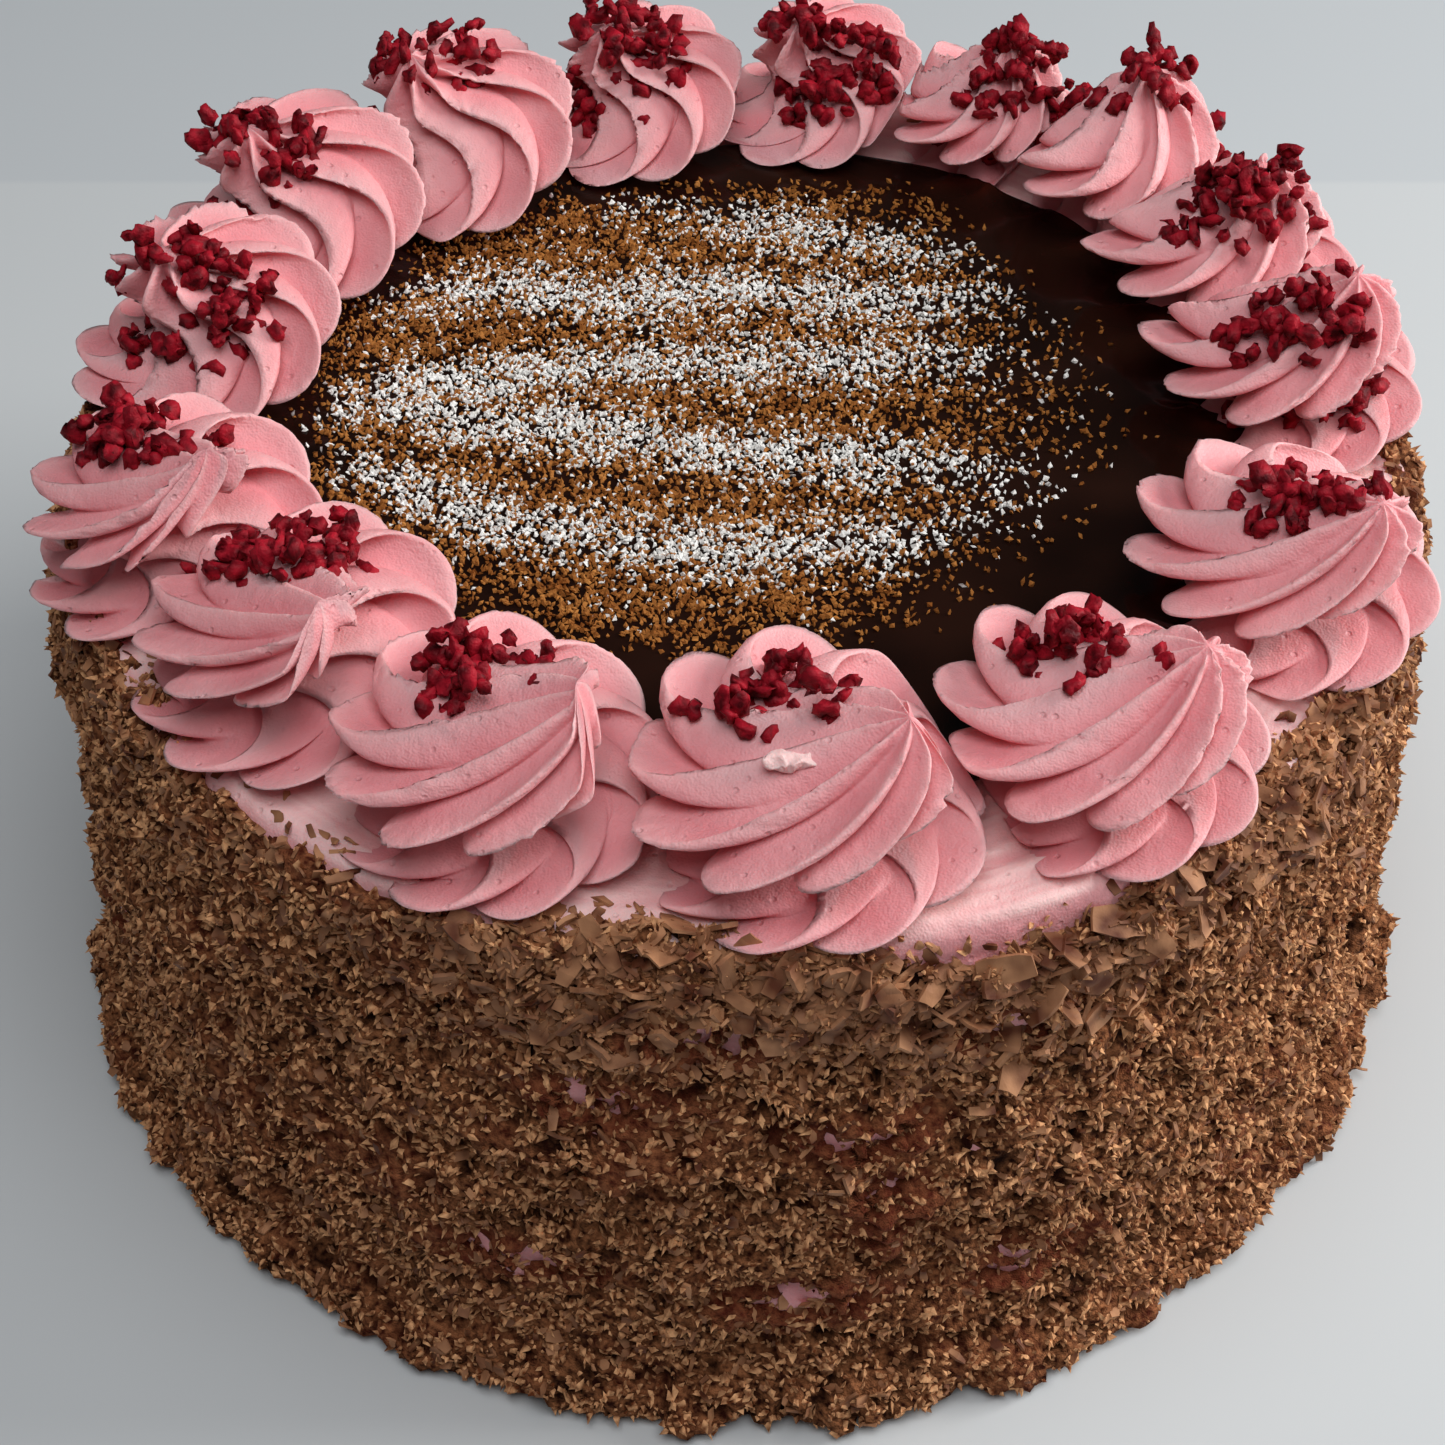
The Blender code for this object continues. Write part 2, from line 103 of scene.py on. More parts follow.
class Field:
    """A number at each point of a node tree, which can be used in a formula."""

    def __init__(self, recipe, socket):
        self.recipe = recipe
        self.socket = socket

    def apply(self, name, *others):
        inputs = dict(enumerate((self, *others)))
        made = self.recipe.node("ShaderNodeMath", inputs, operation=name)
        return Field(self.recipe, made.outputs[0])

    def __rsub__(self, other):
        return (self * -1.0) + other

    __add__ = __radd__ = operation("ADD")
    __sub__ = operation("SUBTRACT")
    __mul__ = __rmul__ = operation("MULTIPLY")
    __truediv__ = operation("DIVIDE")
    __pow__ = operation("POWER")
    sin = operation("SINE")
    cos = operation("COSINE")
    exp = operation("EXPONENT")
    least = operation("MINIMUM")
    most = operation("MAXIMUM")
    below = operation("LESS_THAN")


print("a formula knows", [name for name in vars(Field) if not name.startswith("_")])

# %% Trees
class Tree:
    """A node tree that is written as one line for each node."""

    def __init__(self, tree):
        self.tree = tree
        self.keys = {}

    def open(self, sizes):
        """Give the tree its two end nodes and an input for each named size."""
        for label, start in sizes.items():
            width = len(start) if isinstance(start, tuple) else 1
            kind = {1: "NodeSocketFloat", 3: "NodeSocketVector", 4: "NodeSocketColor"}[width]
            socket = self.tree.interface.new_socket(label, in_out="INPUT", socket_type=kind)
            socket.default_value = start
            self.keys[label] = socket.identifier
        self.entry = self.tree.nodes.new("NodeGroupInput")
        self.exit = self.tree.nodes.new("NodeGroupOutput")

    def feed(self, target, value):
        """Link a field or a socket, or set a plain value."""
        if isinstance(value, Field):
            value = value.socket
        if isinstance(value, bpy.types.NodeSocket):
            self.tree.links.new(value, target)
        else:
            target.default_value = value

    def fill(self, node, inputs):
        """Feed several inputs of one node."""
        for label, value in inputs.items():
            self.feed(node.inputs[label], value)
        return node

    def node(self, kind, inputs=None, **settings):
        """Add a node, set its options and feed its inputs."""
        made = self.tree.nodes.new(kind)
        for label, value in settings.items():
            setattr(made, label, value)
        return self.fill(made, inputs or {})

    def mix(self, share, first, second):
        """Blend two colours."""
        inputs = {"Factor": share, "A": first, "B": second}
        return self.node("ShaderNodeMix", inputs, data_type="RGBA").outputs["Result"]

    def place(self):
        """The point's place on the piece."""
        return self.node("ShaderNodeTexCoord").outputs["Object"]


class Recipe(Tree):
    """A Geometry Nodes tree with named sizes."""

    def __init__(self, name, sizes=None):
        super().__init__(bpy.data.node_groups.new(name, "GeometryNodeTree"))
        self.tree.is_modifier = True
        for way in ("INPUT", "OUTPUT"):
            self.tree.interface.new_socket(
                "Geometry", in_out=way, socket_type="NodeSocketGeometry")
        self.open(sizes or {})

    def size(self, label):
        return Field(self, self.entry.outputs[label])

    def smooth(self, low, high, value):
        """Rise softly from 0 to 1 between low and high."""
        inputs = {"Value": value, "From Min": low, "From Max": high}
        made = self.node("ShaderNodeMapRange", inputs, interpolation_type="SMOOTHSTEP")
        return Field(self, made.outputs["Result"])

    def split(self, vector):
        made = self.node("ShaderNodeSeparateXYZ", {0: vector})
        return [Field(self, socket) for socket in made.outputs]

    def join(self, x, y, z):
        return self.node("ShaderNodeCombineXYZ", {0: x, 1: y, 2: z}).outputs[0]

    def vector(self, operation, first, second):
        slot = "Scale" if operation == "SCALE" else 1
        made = self.node("ShaderNodeVectorMath", {0: first, slot: second}, operation=operation)
        if operation == "DOT_PRODUCT":
            return Field(self, made.outputs["Value"])
        return made.outputs["Vector"]

    def noise(self, grain, detail=2.0, at=None, rough=0.5):
        """Soft noise from -1 to 1 with spots of about grain metres."""
        made = self.node("ShaderNodeTexNoise", {
            "Scale": 1.0 / grain, "Detail": detail, "Roughness": rough,
            "Vector": at or self.position()})
        return Field(self, made.outputs[0]) * 2.0 - 1.0

    def position(self):
        return self.node("GeometryNodeInputPosition").outputs[0]

    def normal(self):
        return self.node("GeometryNodeInputNormal").outputs[0]

    def attribute(self, label):
        made = self.node("GeometryNodeInputNamedAttribute", {"Name": label}, data_type="FLOAT")
        return Field(self, made.outputs[0])

    def move(self, geometry, **inputs):
        """Move every point to a Position, or by an Offset."""
        inputs["Geometry"] = geometry
        return self.node("GeometryNodeSetPosition", inputs).outputs[0]

    def store(self, geometry, label, value):
        inputs = {"Geometry": geometry, "Name": label}
        made = self.node("GeometryNodeStoreNamedAttribute", inputs, data_type="FLOAT")
        self.feed(shown(made.inputs, "Value"), value)
        return made.outputs[0]

    def real(self, geometry):
        return self.node("GeometryNodeRealizeInstances", {"Geometry": geometry}).outputs[0]

    def finish(self, geometry, finish, smooth=True):
        """End the tree: plain mesh, shading and one finish."""
        shade = self.node("GeometryNodeSetShadeSmooth", {
            "Geometry": self.real(geometry), "Shade Smooth": smooth})
        painted = self.node("GeometryNodeSetMaterial", {
            "Geometry": shade.outputs[0], "Material": finish})
        self.tree.links.new(painted.outputs[0], self.exit.inputs[0])


def shown(sockets, label):
    """The socket of this name that a node shows with its present options."""
    return [socket for socket in sockets if socket.name == label and socket.enabled][0]


print("trees ready")

# %% From a recipe to a mesh
def grow(recipe, name, mesh=None, closed=True, **sizes):
    """Run a recipe once and keep the result as a plain mesh at the origin."""
    made = bpy.data.objects.new(name, mesh or bpy.data.meshes.new(name))
    scene.collection.objects.link(made)
    modifier = made.modifiers.new("recipe", "NODES")
    modifier.node_group = recipe.tree
    for label, value in sizes.items():
        modifier[recipe.keys[label.replace("_", " ")]] = value
    graph = bpy.context.evaluated_depsgraph_get()
    result = bpy.data.meshes.new_from_object(
        made.evaluated_get(graph), preserve_all_data_layers=True, depsgraph=graph)
    made.modifiers.remove(modifier)
    made.data = result
    result.name = name
    if closed:
        face_outwards(result)
    return made


def face_outwards(mesh):
    """Turn every face of a closed mesh outwards."""
    shape = bmesh.new()
    shape.from_mesh(mesh)
    bmesh.ops.recalc_face_normals(shape, faces=shape.faces)
    shape.to_mesh(mesh)
    shape.free()


def triangles(thing):
    """How many triangles a piece has."""
    return sum(len(face.vertices) - 2 for face in thing.data.polygons)


print("recipes can be grown")

# %% [markdown]
# ## Light and floor
#
# The light in the photograph is soft daylight from a window behind the cake and to its
# right, so the left of the cake is in gentle shade. One large area lamp stands in for
# the window, a wide one overhead for the ceiling, and a faint pale sky for the rest.

# %% Light and floor
LIGHT_AIM = Vector((0.0, 0.0, 0.06))
LAMPS = (
    ("window", Vector((1.05, 0.18, 0.55)), 0.6, 13.6, (1.0, 0.99, 0.97)),
    ("ceiling", Vector((0.05, -0.32, 1.35)), 1.1, 12.3, (0.97, 0.98, 1.0)),
)
SKY_COLOUR = (0.90, 0.95, 1.0, 1.0)
SKY_STRENGTH = 0.068
FLOOR_SIZE = 6.0
FLOOR_EDGE = 0.237
FLOOR_NEAR = (0.62, 0.645, 0.655, 1.0)
FLOOR_FAR = (0.57, 0.60, 0.62, 1.0)
FLOOR_ROUGHNESS = 0.35


def lamp(name, place, size, power, colour):
    """A square soft lamp that faces the cake."""
    light = bpy.data.lights.new(name, "AREA")
    light.size = size
    light.energy = power
    light.color = colour
    made = bpy.data.objects.new(name, light)
    made.location = place
    made.rotation_euler = (LIGHT_AIM - place).to_track_quat("-Z", "Y").to_euler()
    scene.collection.objects.link(made)


def new_finish(name):
    """A new material as a tree, with its shader."""
    made = bpy.data.materials.new(name)
    made.use_nodes = True
    return made, Tree(made.node_tree), made.node_tree.nodes["Principled BSDF"]


def floor_finish():
    """A pale satin table, a little darker beyond its far edge."""
    made, tree, shader = new_finish("table")
    back = tree.node("ShaderNodeSeparateXYZ", {0: tree.place()}).outputs["Y"]
    step = tree.node("ShaderNodeMapRange", {
        "Value": back, "From Min": FLOOR_EDGE - 0.001, "From Max": FLOOR_EDGE + 0.001})
    colour = tree.mix(step.outputs["Result"], FLOOR_NEAR, FLOOR_FAR)
    tree.fill(shader, {"Base Color": colour, "Roughness": FLOOR_ROUGHNESS})
    return made


for row in LAMPS:
    lamp(*row)
sky = bpy.data.worlds.new("sky")
sky.use_nodes = True
sky_light = sky.node_tree.nodes["Background"]
Tree(sky.node_tree).fill(sky_light, {"Color": SKY_COLOUR, "Strength": SKY_STRENGTH})
scene.world = sky
scene.view_settings.view_transform = "Standard"
bpy.ops.mesh.primitive_plane_add(size=FLOOR_SIZE)
floor = bpy.context.object
floor.name = "floor"
floor.data.materials.append(floor_finish())
print("floor and lamps in place")

# %% [markdown]
# ## Finishes
#
# Each finish is a node material. Three effects are shared by the finishes, so each is a
# node group with named inputs: a mottle that varies a colour over the surface, and two
# grains that give a height for the Bump node, one of them with small pits. All read
# Object coordinates, because every piece sits at the origin.

# %% Shared effects
WHITE = (1.0, 1.0, 1.0, 1.0)
MOTTLE_RANGE = (0.32, 0.68)
GRAIN_SHARES = {"Coarse per metre": 0.6, "Fine per metre": 0.4}
PITS_PER_METRE = 260.0
PIT_RADII = (0.06, 0.16)
PIT_DEPTH = 0.7


def effect(name, sizes, result, kind):
    """An empty shader group with its inputs and one result."""
    tree = Tree(bpy.data.node_groups.new(name, "ShaderNodeTree"))
    tree.tree.interface.new_socket(result, in_out="OUTPUT", socket_type=kind)
    tree.open(sizes)
    return tree


def mottle_effect():
    """Vary a colour between a dark and a light one in soft spots."""
    sizes = {"Dark": WHITE, "Light": WHITE, "Spots per metre": 100.0}
    tree = effect("mottle", sizes, "Colour", "NodeSocketColor")
    given = tree.entry.outputs
    spots = tree.node("ShaderNodeTexNoise", {
        "Vector": tree.place(), "Scale": given["Spots per metre"], "Detail": 1.5})
    share = tree.node("ShaderNodeMapRange", {
        "Value": spots.outputs[0], "From Min": MOTTLE_RANGE[0], "From Max": MOTTLE_RANGE[1]})
    colour = tree.mix(share.outputs["Result"], given["Dark"], given["Light"])
    tree.feed(tree.exit.inputs["Colour"], colour)
    return tree.tree


def grain_effect(name, pitted):
    """A height made of coarse and fine grain, with small pits if asked for."""
    sizes = {"Coarse per metre": 300.0, "Fine per metre": 1500.0}
    tree = effect(name, sizes, "Height", "NodeSocketFloat")
    place = tree.place()
    height = 0.5
    for label, share in GRAIN_SHARES.items():
        grain = tree.node("ShaderNodeTexNoise", {
            "Vector": place, "Scale": tree.entry.outputs[label], "Detail": 0.5})
        inputs = {0: grain.outputs[0], 1: share, 2: height}
        height = tree.node("ShaderNodeMath", inputs, operation="MULTIPLY_ADD").outputs[0]
    if pitted:
        cells = tree.node("ShaderNodeTexVoronoi", {"Vector": place, "Scale": PITS_PER_METRE})
        pit = tree.node("ShaderNodeMapRange", {
            "Value": cells.outputs["Distance"], "From Min": PIT_RADII[0],
            "From Max": PIT_RADII[1], "To Min": -1.0, "To Max": 0.0},
            interpolation_type="SMOOTHSTEP")
        inputs = {0: pit.outputs["Result"], 1: PIT_DEPTH, 2: height}
        height = tree.node("ShaderNodeMath", inputs, operation="MULTIPLY_ADD").outputs[0]
    tree.feed(tree.exit.inputs["Height"], height)
    return tree.tree


MOTTLE = mottle_effect()
GRAIN = grain_effect("grain", False)
PITTED_GRAIN = grain_effect("pitted grain", True)


def finish_of(name, dark, light, spots, rough, specular, coarse, fine, bump, grain=GRAIN):
    """A finish with a mottled colour and a grained surface."""
    made, tree, shader = new_finish(name)
    colour = tree.node("ShaderNodeGroup", {
        "Dark": (*dark, 1.0), "Light": (*light, 1.0), "Spots per metre": spots}, node_tree=MOTTLE)
    height = tree.node("ShaderNodeGroup", {
        "Coarse per metre": coarse, "Fine per metre": fine}, node_tree=grain)
    relief = tree.node("ShaderNodeBump", {
        "Strength": 1.0, "Distance": bump, "Height": height.outputs["Height"]})
    tree.fill(shader, {
        "Base Color": colour.outputs["Colour"], "Normal": relief.outputs["Normal"],
        "Roughness": rough, "Specular IOR Level": specular})
    return made


def tinted_by(finish, attribute, colour):
    """Blend a finish's colour towards another where an attribute of the mesh says so."""
    tree = Tree(finish.node_tree)
    amount = tree.node("ShaderNodeAttribute", attribute_name=attribute).outputs["Fac"]
    target = finish.node_tree.nodes["Principled BSDF"].inputs["Base Color"]
    tree.feed(target, tree.mix(amount, target.links[0].from_socket, (*colour, 1.0)))


print("shared effects:", MOTTLE.name, GRAIN.name, PITTED_GRAIN.name)

# %% [markdown]
# Buttercream lets a little light in, so it gets subsurface scattering and the small
# pits of beaten air. Chocolate scatters none, and its colour goes from light on a fresh
# cut to dark, and painted shade makes the gaps nearly black. Several colours depend on the
# form, such as a painted highlight on the edge of a ridge. The recipes store these as
# attributes, and the finishes read them.

# %% The finishes
buttercream = finish_of(
    "pink_buttercream", (0.76, 0.250, 0.275), (0.84, 0.345, 0.365), spots=90.0, rough=0.50,
    specular=0.35, coarse=600.0, fine=2600.0, bump=0.00030, grain=PITTED_GRAIN)
Tree(buttercream.node_tree).fill(buttercream.node_tree.nodes["Principled BSDF"], {
    "Subsurface Weight": 0.28, "Subsurface Radius": (1.0, 0.30, 0.27),
    "Subsurface Scale": 0.0026})
grated = finish_of(
    "grated_chocolate", (0.15, 0.040, 0.013), (0.88, 0.470, 0.230), spots=700.0, rough=0.85,
    specular=0.12, coarse=900.0, fine=3200.0, bump=0.00025)
packed = finish_of(
    "packed_chocolate", (0.028, 0.0045, 0.0014), (0.36, 0.140, 0.058), spots=850.0, rough=0.9,
    specular=0.1, coarse=900.0, fine=3200.0, bump=0.00090)
shaving = finish_of(
    "chocolate_shavings", (0.11, 0.028, 0.010), (0.52, 0.250, 0.122), spots=200.0, rough=0.62,
    specular=0.25, coarse=700.0, fine=2500.0, bump=0.00010)
raspberry = finish_of(
    "dried_raspberry", (0.080, 0.0010, 0.004), (0.42, 0.009, 0.023), spots=420.0, rough=0.55,
    specular=0.15, coarse=900.0, fine=2600.0, bump=0.00035)
icing = finish_of(
    "icing_sugar", (0.80, 0.78, 0.74), (0.93, 0.92, 0.89), spots=400.0, rough=0.85,
    specular=0.5, coarse=1500.0, fine=5000.0, bump=0.0002)
cocoa = finish_of(
    "cocoa_crumbs", (0.24, 0.075, 0.014), (0.47, 0.190, 0.046), spots=300.0, rough=0.9,
    specular=0.12, coarse=1500.0, fine=5000.0, bump=0.0002)
glaze = finish_of(
    "chocolate_glaze", (0.008, 0.0028, 0.0018), (0.018, 0.006, 0.0035), spots=60.0, rough=0.12,
    specular=0.14, coarse=60.0, fine=400.0, bump=0.00003)

# Painted highlight: the rosettes' ridge edges are tinted paler, as if lit.
tinted_by(buttercream, "ridge", (0.90, 0.50, 0.50))
# Painted light: the top rim gets paler streaks of painted sheen, and the wall's pink is lightened
# against its shade; the torn bit is tinted pale all over.
tinted_by(buttercream, "pale", (0.93, 0.60, 0.58))
# Painted shade: the coat's hollows are tinted nearly black.
tinted_by(packed, "hollow", (0.010, 0.0012, 0.0004))
tinted_by(packed, "thin", (0.20, 0.036, 0.018))
tinted_by(glaze, "film", (0.050, 0.008, 0.004))
print("finishes:", [m.name for m in bpy.data.materials if m.use_nodes])

# %% [markdown]
# ## The piped rosettes
#
# A rosette is buttercream pressed through a star nozzle that turns about one and a half
# times and is then drawn off to a peak. Sweeping a star along that path would make a
# tube that cuts through itself. Instead, the shape is a stack of star-shaped slices,
# each a little higher than the last: the middle of a slice follows the nozzle, and the
# points of the star lean over, as soft ridges do. A grid is enough as a start, because
# one side of it can be the rise through the rosette and the other the way round it.

# %% The rosettes' places
# Each row: angle round the cake, distance from its axis, width, height, lean, reach and
# swing of the peak, and the middle of its heap of raspberry, in degrees and millimetres.
ROSETTES = (
    (-84.0, 88.5, 57.5, 24.5, -5.0, 15.0, 0.0, (-4.5, 9.5)),
    (-113.8, 90.5, 53.5, 25.5, -5.0, 16.0, 0.0, (0.0, 8.5)),
    (-140.0, 90.0, 54.0, 26.0, -50.0, 15.5, 0.0, (-1.5, 10.5)),
    (-162.5, 96.5, 50.0, 27.0, -34.0, 12.0, 0.0, (-3.5, 9.0)),
    (168.0, 94.5, 48.0, 26.0, -20.0, -6.0, -150.0, (-0.5, -3.0)),
    (147.0, 96.5, 50.5, 28.0, -25.0, -7.0, -150.0, (-5.5, 2.0)),
    (126.0, 91.5, 49.0, 28.5, -30.0, -7.0, -145.0, (-3.5, 8.0)),
    (102.5, 93.5, 44.0, 24.0, -35.0, -6.0, -140.0, (-2.0, 2.0)),
    (81.5, 97.5, 42.5, 22.5, -40.0, -4.0, -135.0, (3.5, -3.0)),
    (62.5, 100.5, 43.0, 22.5, 30.0, 5.0, 0.0, (7.0, -3.0)),
    (46.0, 101.0, 48.0, 26.0, 44.0, 6.0, 0.0, (6.5, 6.0)),
    (28.5, 97.0, 52.0, 25.0, 15.0, 7.0, 0.0, (3.0, -4.0)),
    (8.0, 93.5, 50.0, 26.0, 7.0, 11.0, 0.0, (3.0, -6.5)),
    (-24.7, 94.0, 52.0, 25.5, -18.0, 14.0, 0.0, (4.0, 3.5)),
    (-54.7, 93.0, 52.5, 23.5, 9.0, 15.0, 0.0, (-1.5, 7.5)),
)
MILLIMETRE = 0.001
RIDGES = 9
TURNS = 1.45
LAST_BEARING = math.radians(5.0)
ROPE_SHARE = 0.352
PATH_SHARE = 0.148
LAYER_SPLIT = 0.50
LAYER_HEIGHT = 0.40
UPPER_POWER = 1.15
PEAK_START = 0.72
TAPER_START = 0.475
TAPER_POWER = 3.3
FOOT_SHARE = 0.95
FOOT_RISE = 0.15
HOOK = -0.36
PRESS_DEPTH = 0.0016
RIDGE_SHARPNESS = 1.35
RIDGE_DEPTH = 0.58
TEAR_GRAIN = 0.0010
TEAR_DEPTH = 0.0022
MERGE_DISTANCE = 0.00001
TILT = 0.22
DROOP = 0.12
SEAM_LEAN = 0.60
SEAM_LEAN_Z = 0.008
SINK = 0.0004


def on_ring(degrees, radius):
    """A point on the cake's top, at an angle and a radius in millimetres."""
    turn = math.radians(degrees)
    flat = Vector((math.cos(turn), math.sin(turn), 0.0)) * radius * MILLIMETRE
    return flat + Vector((0.0, 0.0, cake_top))


def seam(first, second):
    """The plane where a rosette meets the next one round, and its normal towards that."""
    sweep = (second[0] - first[0]) % 360.0
    middle = first[0] + sweep * first[2] / (first[2] + second[2])
    point = on_ring(middle, 0.5 * (first[1] + second[1])) + Vector((0.0, 0.0, SEAM_LEAN_Z))
    turn = math.radians(middle)
    return point, Vector((-math.sin(turn), math.cos(turn), SEAM_LEAN)).normalized()


print("rosettes to pipe:", len(ROSETTES))

# %% The rosette recipe
def star_slice(recipe, rise, turn, seed):
    """The ridges, reach and direction of a slice's edge: a star whose points lean over."""
    round_x = turn.cos() * 1.1
    round_y = turn.sin() * 1.1
    spot = recipe.join(round_x, round_y, rise * 1.6 + seed)
    sway = recipe.noise(1.0, 1.0, spot)
    phase = turn * float(RIDGES) + sway * 0.55 + seed * 2.0
    wave = (phase + phase.sin() * 0.35).cos() * 0.5 + 0.5
    ridge = wave.most(0.0) ** RIDGE_SHARPNESS
    along_ridge = recipe.join(round_x * 4.0, round_y * 4.0, rise * 2.0 + seed)
    uneven = recipe.noise(1.0, 0.0, along_ridge)
    depth = (RIDGE_DEPTH + uneven * 0.10) * (1.0 - 0.5 * recipe.smooth(0.90, 1.0, rise))
    depth = depth * (0.68 + 0.32 * recipe.smooth(0.30, 0.60, rise))
    lean = (ridge ** 1.5 - 0.4) * HOOK * (1.0 - recipe.smooth(0.80, 1.0, rise))
    return ridge, (1.0 - ridge) * depth * -1.0 + 1.0 + sway * 0.03, turn + lean


def torn_edges(recipe, rise, ridge, at):
    """Small tears along the ridges, mostly near the peak."""
    where = (recipe.smooth(0.40, 0.90, rise) + 0.12) * ridge ** 2.0
    patch = recipe.smooth(-0.20, 0.30, recipe.noise(0.012, 1.0, at)) + 0.15
    rough = recipe.noise(TEAR_GRAIN, 3.0, at, 0.6)
    return where * patch * rough * TEAR_DEPTH


def pressed(recipe, place, label):
    """Squeeze the shape towards its own side of a seam."""
    normal = recipe.entry.outputs[label + " Normal"]
    from_seam = recipe.vector("SUBTRACT", place, recipe.entry.outputs[label + " Point"])
    away = recipe.vector("DOT_PRODUCT", from_seam, normal)
    squeezed = ((away - PRESS_DEPTH) / PRESS_DEPTH).least(0.0).exp() * PRESS_DEPTH
    shift = (squeezed - away) * away.below(PRESS_DEPTH)
    level = recipe.vector("MULTIPLY", normal, (1.0, 1.0, 0.0))
    share = recipe.vector("DOT_PRODUCT", level, level)
    return recipe.vector("ADD", place, recipe.vector("SCALE", level, shift / share))


def rosette_recipe(along, around):
    """The tree that pipes one rosette."""
    recipe = Recipe("piped rosette", {
        "Width": 0.05, "Height": 0.024, "Lean": 0.0, "Peak": 0.012, "Swing": 0.0,
        "Middle": (0.0, 0.0, 0.0), "Seed": 1.0,
        "Before Point": (0.0, 0.0, 0.0), "Before Normal": (0.0, 1.0, 0.0),
        "After Point": (0.0, 0.0, 0.0), "After Normal": (0.0, -1.0, 0.0)})
    grid = recipe.node("GeometryNodeMeshGrid", {
        "Size X": 1.0, "Size Y": 1.0, "Vertices X": along, "Vertices Y": around + 1})
    upward, onward, _ = recipe.split(recipe.position())
    raw = (upward + 0.5) * (1.0 + 1.0 / (along - 2)) - 1.0 / (along - 2)
    rise = raw.most(0.0).least(1.0)
    turn = (onward + 0.5) * (2.0 * math.pi)
    width, height, seed = recipe.size("Width"), recipe.size("Height"), recipe.size("Seed")
    ridge, share, direction = star_slice(recipe, rise, turn, seed)
    lower = (rise / LAYER_SPLIT).least(1.0) * LAYER_HEIGHT
    upper = ((rise - LAYER_SPLIT) / (1.0 - LAYER_SPLIT)).most(0.0) ** UPPER_POWER
    z = (lower + upper * (1.0 - LAYER_HEIGHT)) * height
    nozzle = recipe.size("Swing") + LAST_BEARING - (1.0 - rise) * (2.0 * math.pi * TURNS)
    to_peak = recipe.smooth(PEAK_START, 1.0, rise)
    path = (1.0 - to_peak) * width * PATH_SHARE
    taper = 1.0 - ((rise - TAPER_START) / (1.0 - TAPER_START)).most(0.0) ** TAPER_POWER
    foot = recipe.smooth(0.0, FOOT_RISE, rise) * (1.0 - FOOT_SHARE) + FOOT_SHARE
    solid = 1.0 - raw.below(-0.0001)
    reach = width * ROPE_SHARE * taper * foot * share * solid
    x = path * nozzle.cos() + recipe.size("Peak") * to_peak + reach * direction.cos()
    y = path * nozzle.sin() + reach * direction.sin()
    live = recipe.smooth(0.20, 0.60, rise)
    z = z - reach * (1.0 - rise) * live * DROOP
    z = z + y * live * (1.0 - recipe.smooth(0.80, 1.0, rise)) * TILT
    tear = torn_edges(recipe, rise, ridge, recipe.join(x, y, z + seed))
    x = x + tear * direction.cos()
    y = y + tear * direction.sin()
    lean = recipe.size("Lean")
    turned = recipe.join(
        x * lean.cos() - y * lean.sin(), x * lean.sin() + y * lean.cos(), z + tear * 0.5)
    place = recipe.vector("ADD", turned, recipe.entry.outputs["Middle"])
    place = pressed(recipe, place, "Before")
    place = pressed(recipe, place, "After")
    # The ridge share is stored for the painted highlight on the ridge edges.
    kept = recipe.store(grid.outputs["Mesh"], "ridge", ridge ** 3.0 * 0.65)
    shaped = recipe.move(kept, Position=place)
    merged = recipe.node("GeometryNodeMergeByDistance", {
        "Geometry": shaped, "Distance": MERGE_DISTANCE})
    recipe.finish(merged.outputs[0], buttercream)
    return recipe


ROSETTE_ALONG = 112
ROSETTE_AROUND = 162
piping = rosette_recipe(ROSETTE_ALONG, ROSETTE_AROUND)
print("rosette recipe nodes:", len(piping.tree.nodes))

# %% Pipe the rosettes
rosettes = []
for number, row in enumerate(ROSETTES):
    angle, ring, width, height, lean, peak, swing, _ = row
    before = seam(ROSETTES[(number + 1) % len(ROSETTES)], row)
    after = seam(row, ROSETTES[number - 1])
    piece = grow(
        piping, f"piped_rosette_{number + 1:02d}",
        Width=width * MILLIMETRE, Height=height * MILLIMETRE, Lean=math.radians(lean),
        Peak=peak * MILLIMETRE, Swing=math.radians(swing), Seed=float(number) * 3.7 + 1.0,
        Middle=on_ring(angle, ring) - Vector((0.0, 0.0, SINK)),
        Before_Point=before[0], Before_Normal=before[1],
        After_Point=after[0], After_Normal=-after[1])
    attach(piece, "root")
    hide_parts(f"rosette_{number + 1:02d}")
    rosettes.append(piece)
print("rosettes:", len(rosettes), "of", triangles(rosettes[0]), "triangles each")

# %% [markdown]
# ## The cake under its coat
#
# Two turned bodies share the form of the cake's solid: the pink buttercream, and the
# chocolate coat over it. Where chocolate sticks, the coat's surface lies outside the
# pink. Where it doesn't, the coat dips below the pink, so the border between them comes
# out as ragged as on the cake. The lumps and ledges follow the solid's own formula.

# %% The wall's shape
WALL_RADIUS_TOP = 0.115
WALL_RADIUS_FOOT = 0.1185
WALL_FOOT_Z = 0.0155
WALL_TOP_Z = 0.1045
TOP_FLAT_RADIUS = 0.1105
UNDERSIDE_RADIUS = 0.1195
SKIRT_RADIUS = 0.1235
SKIRT_HEIGHT = 0.010
LUMP_SIZE = 0.0085
LUMP_DEPTH = 0.0028
PATCH_SIZE = 0.030
PATCH_DEPTH = 0.0020
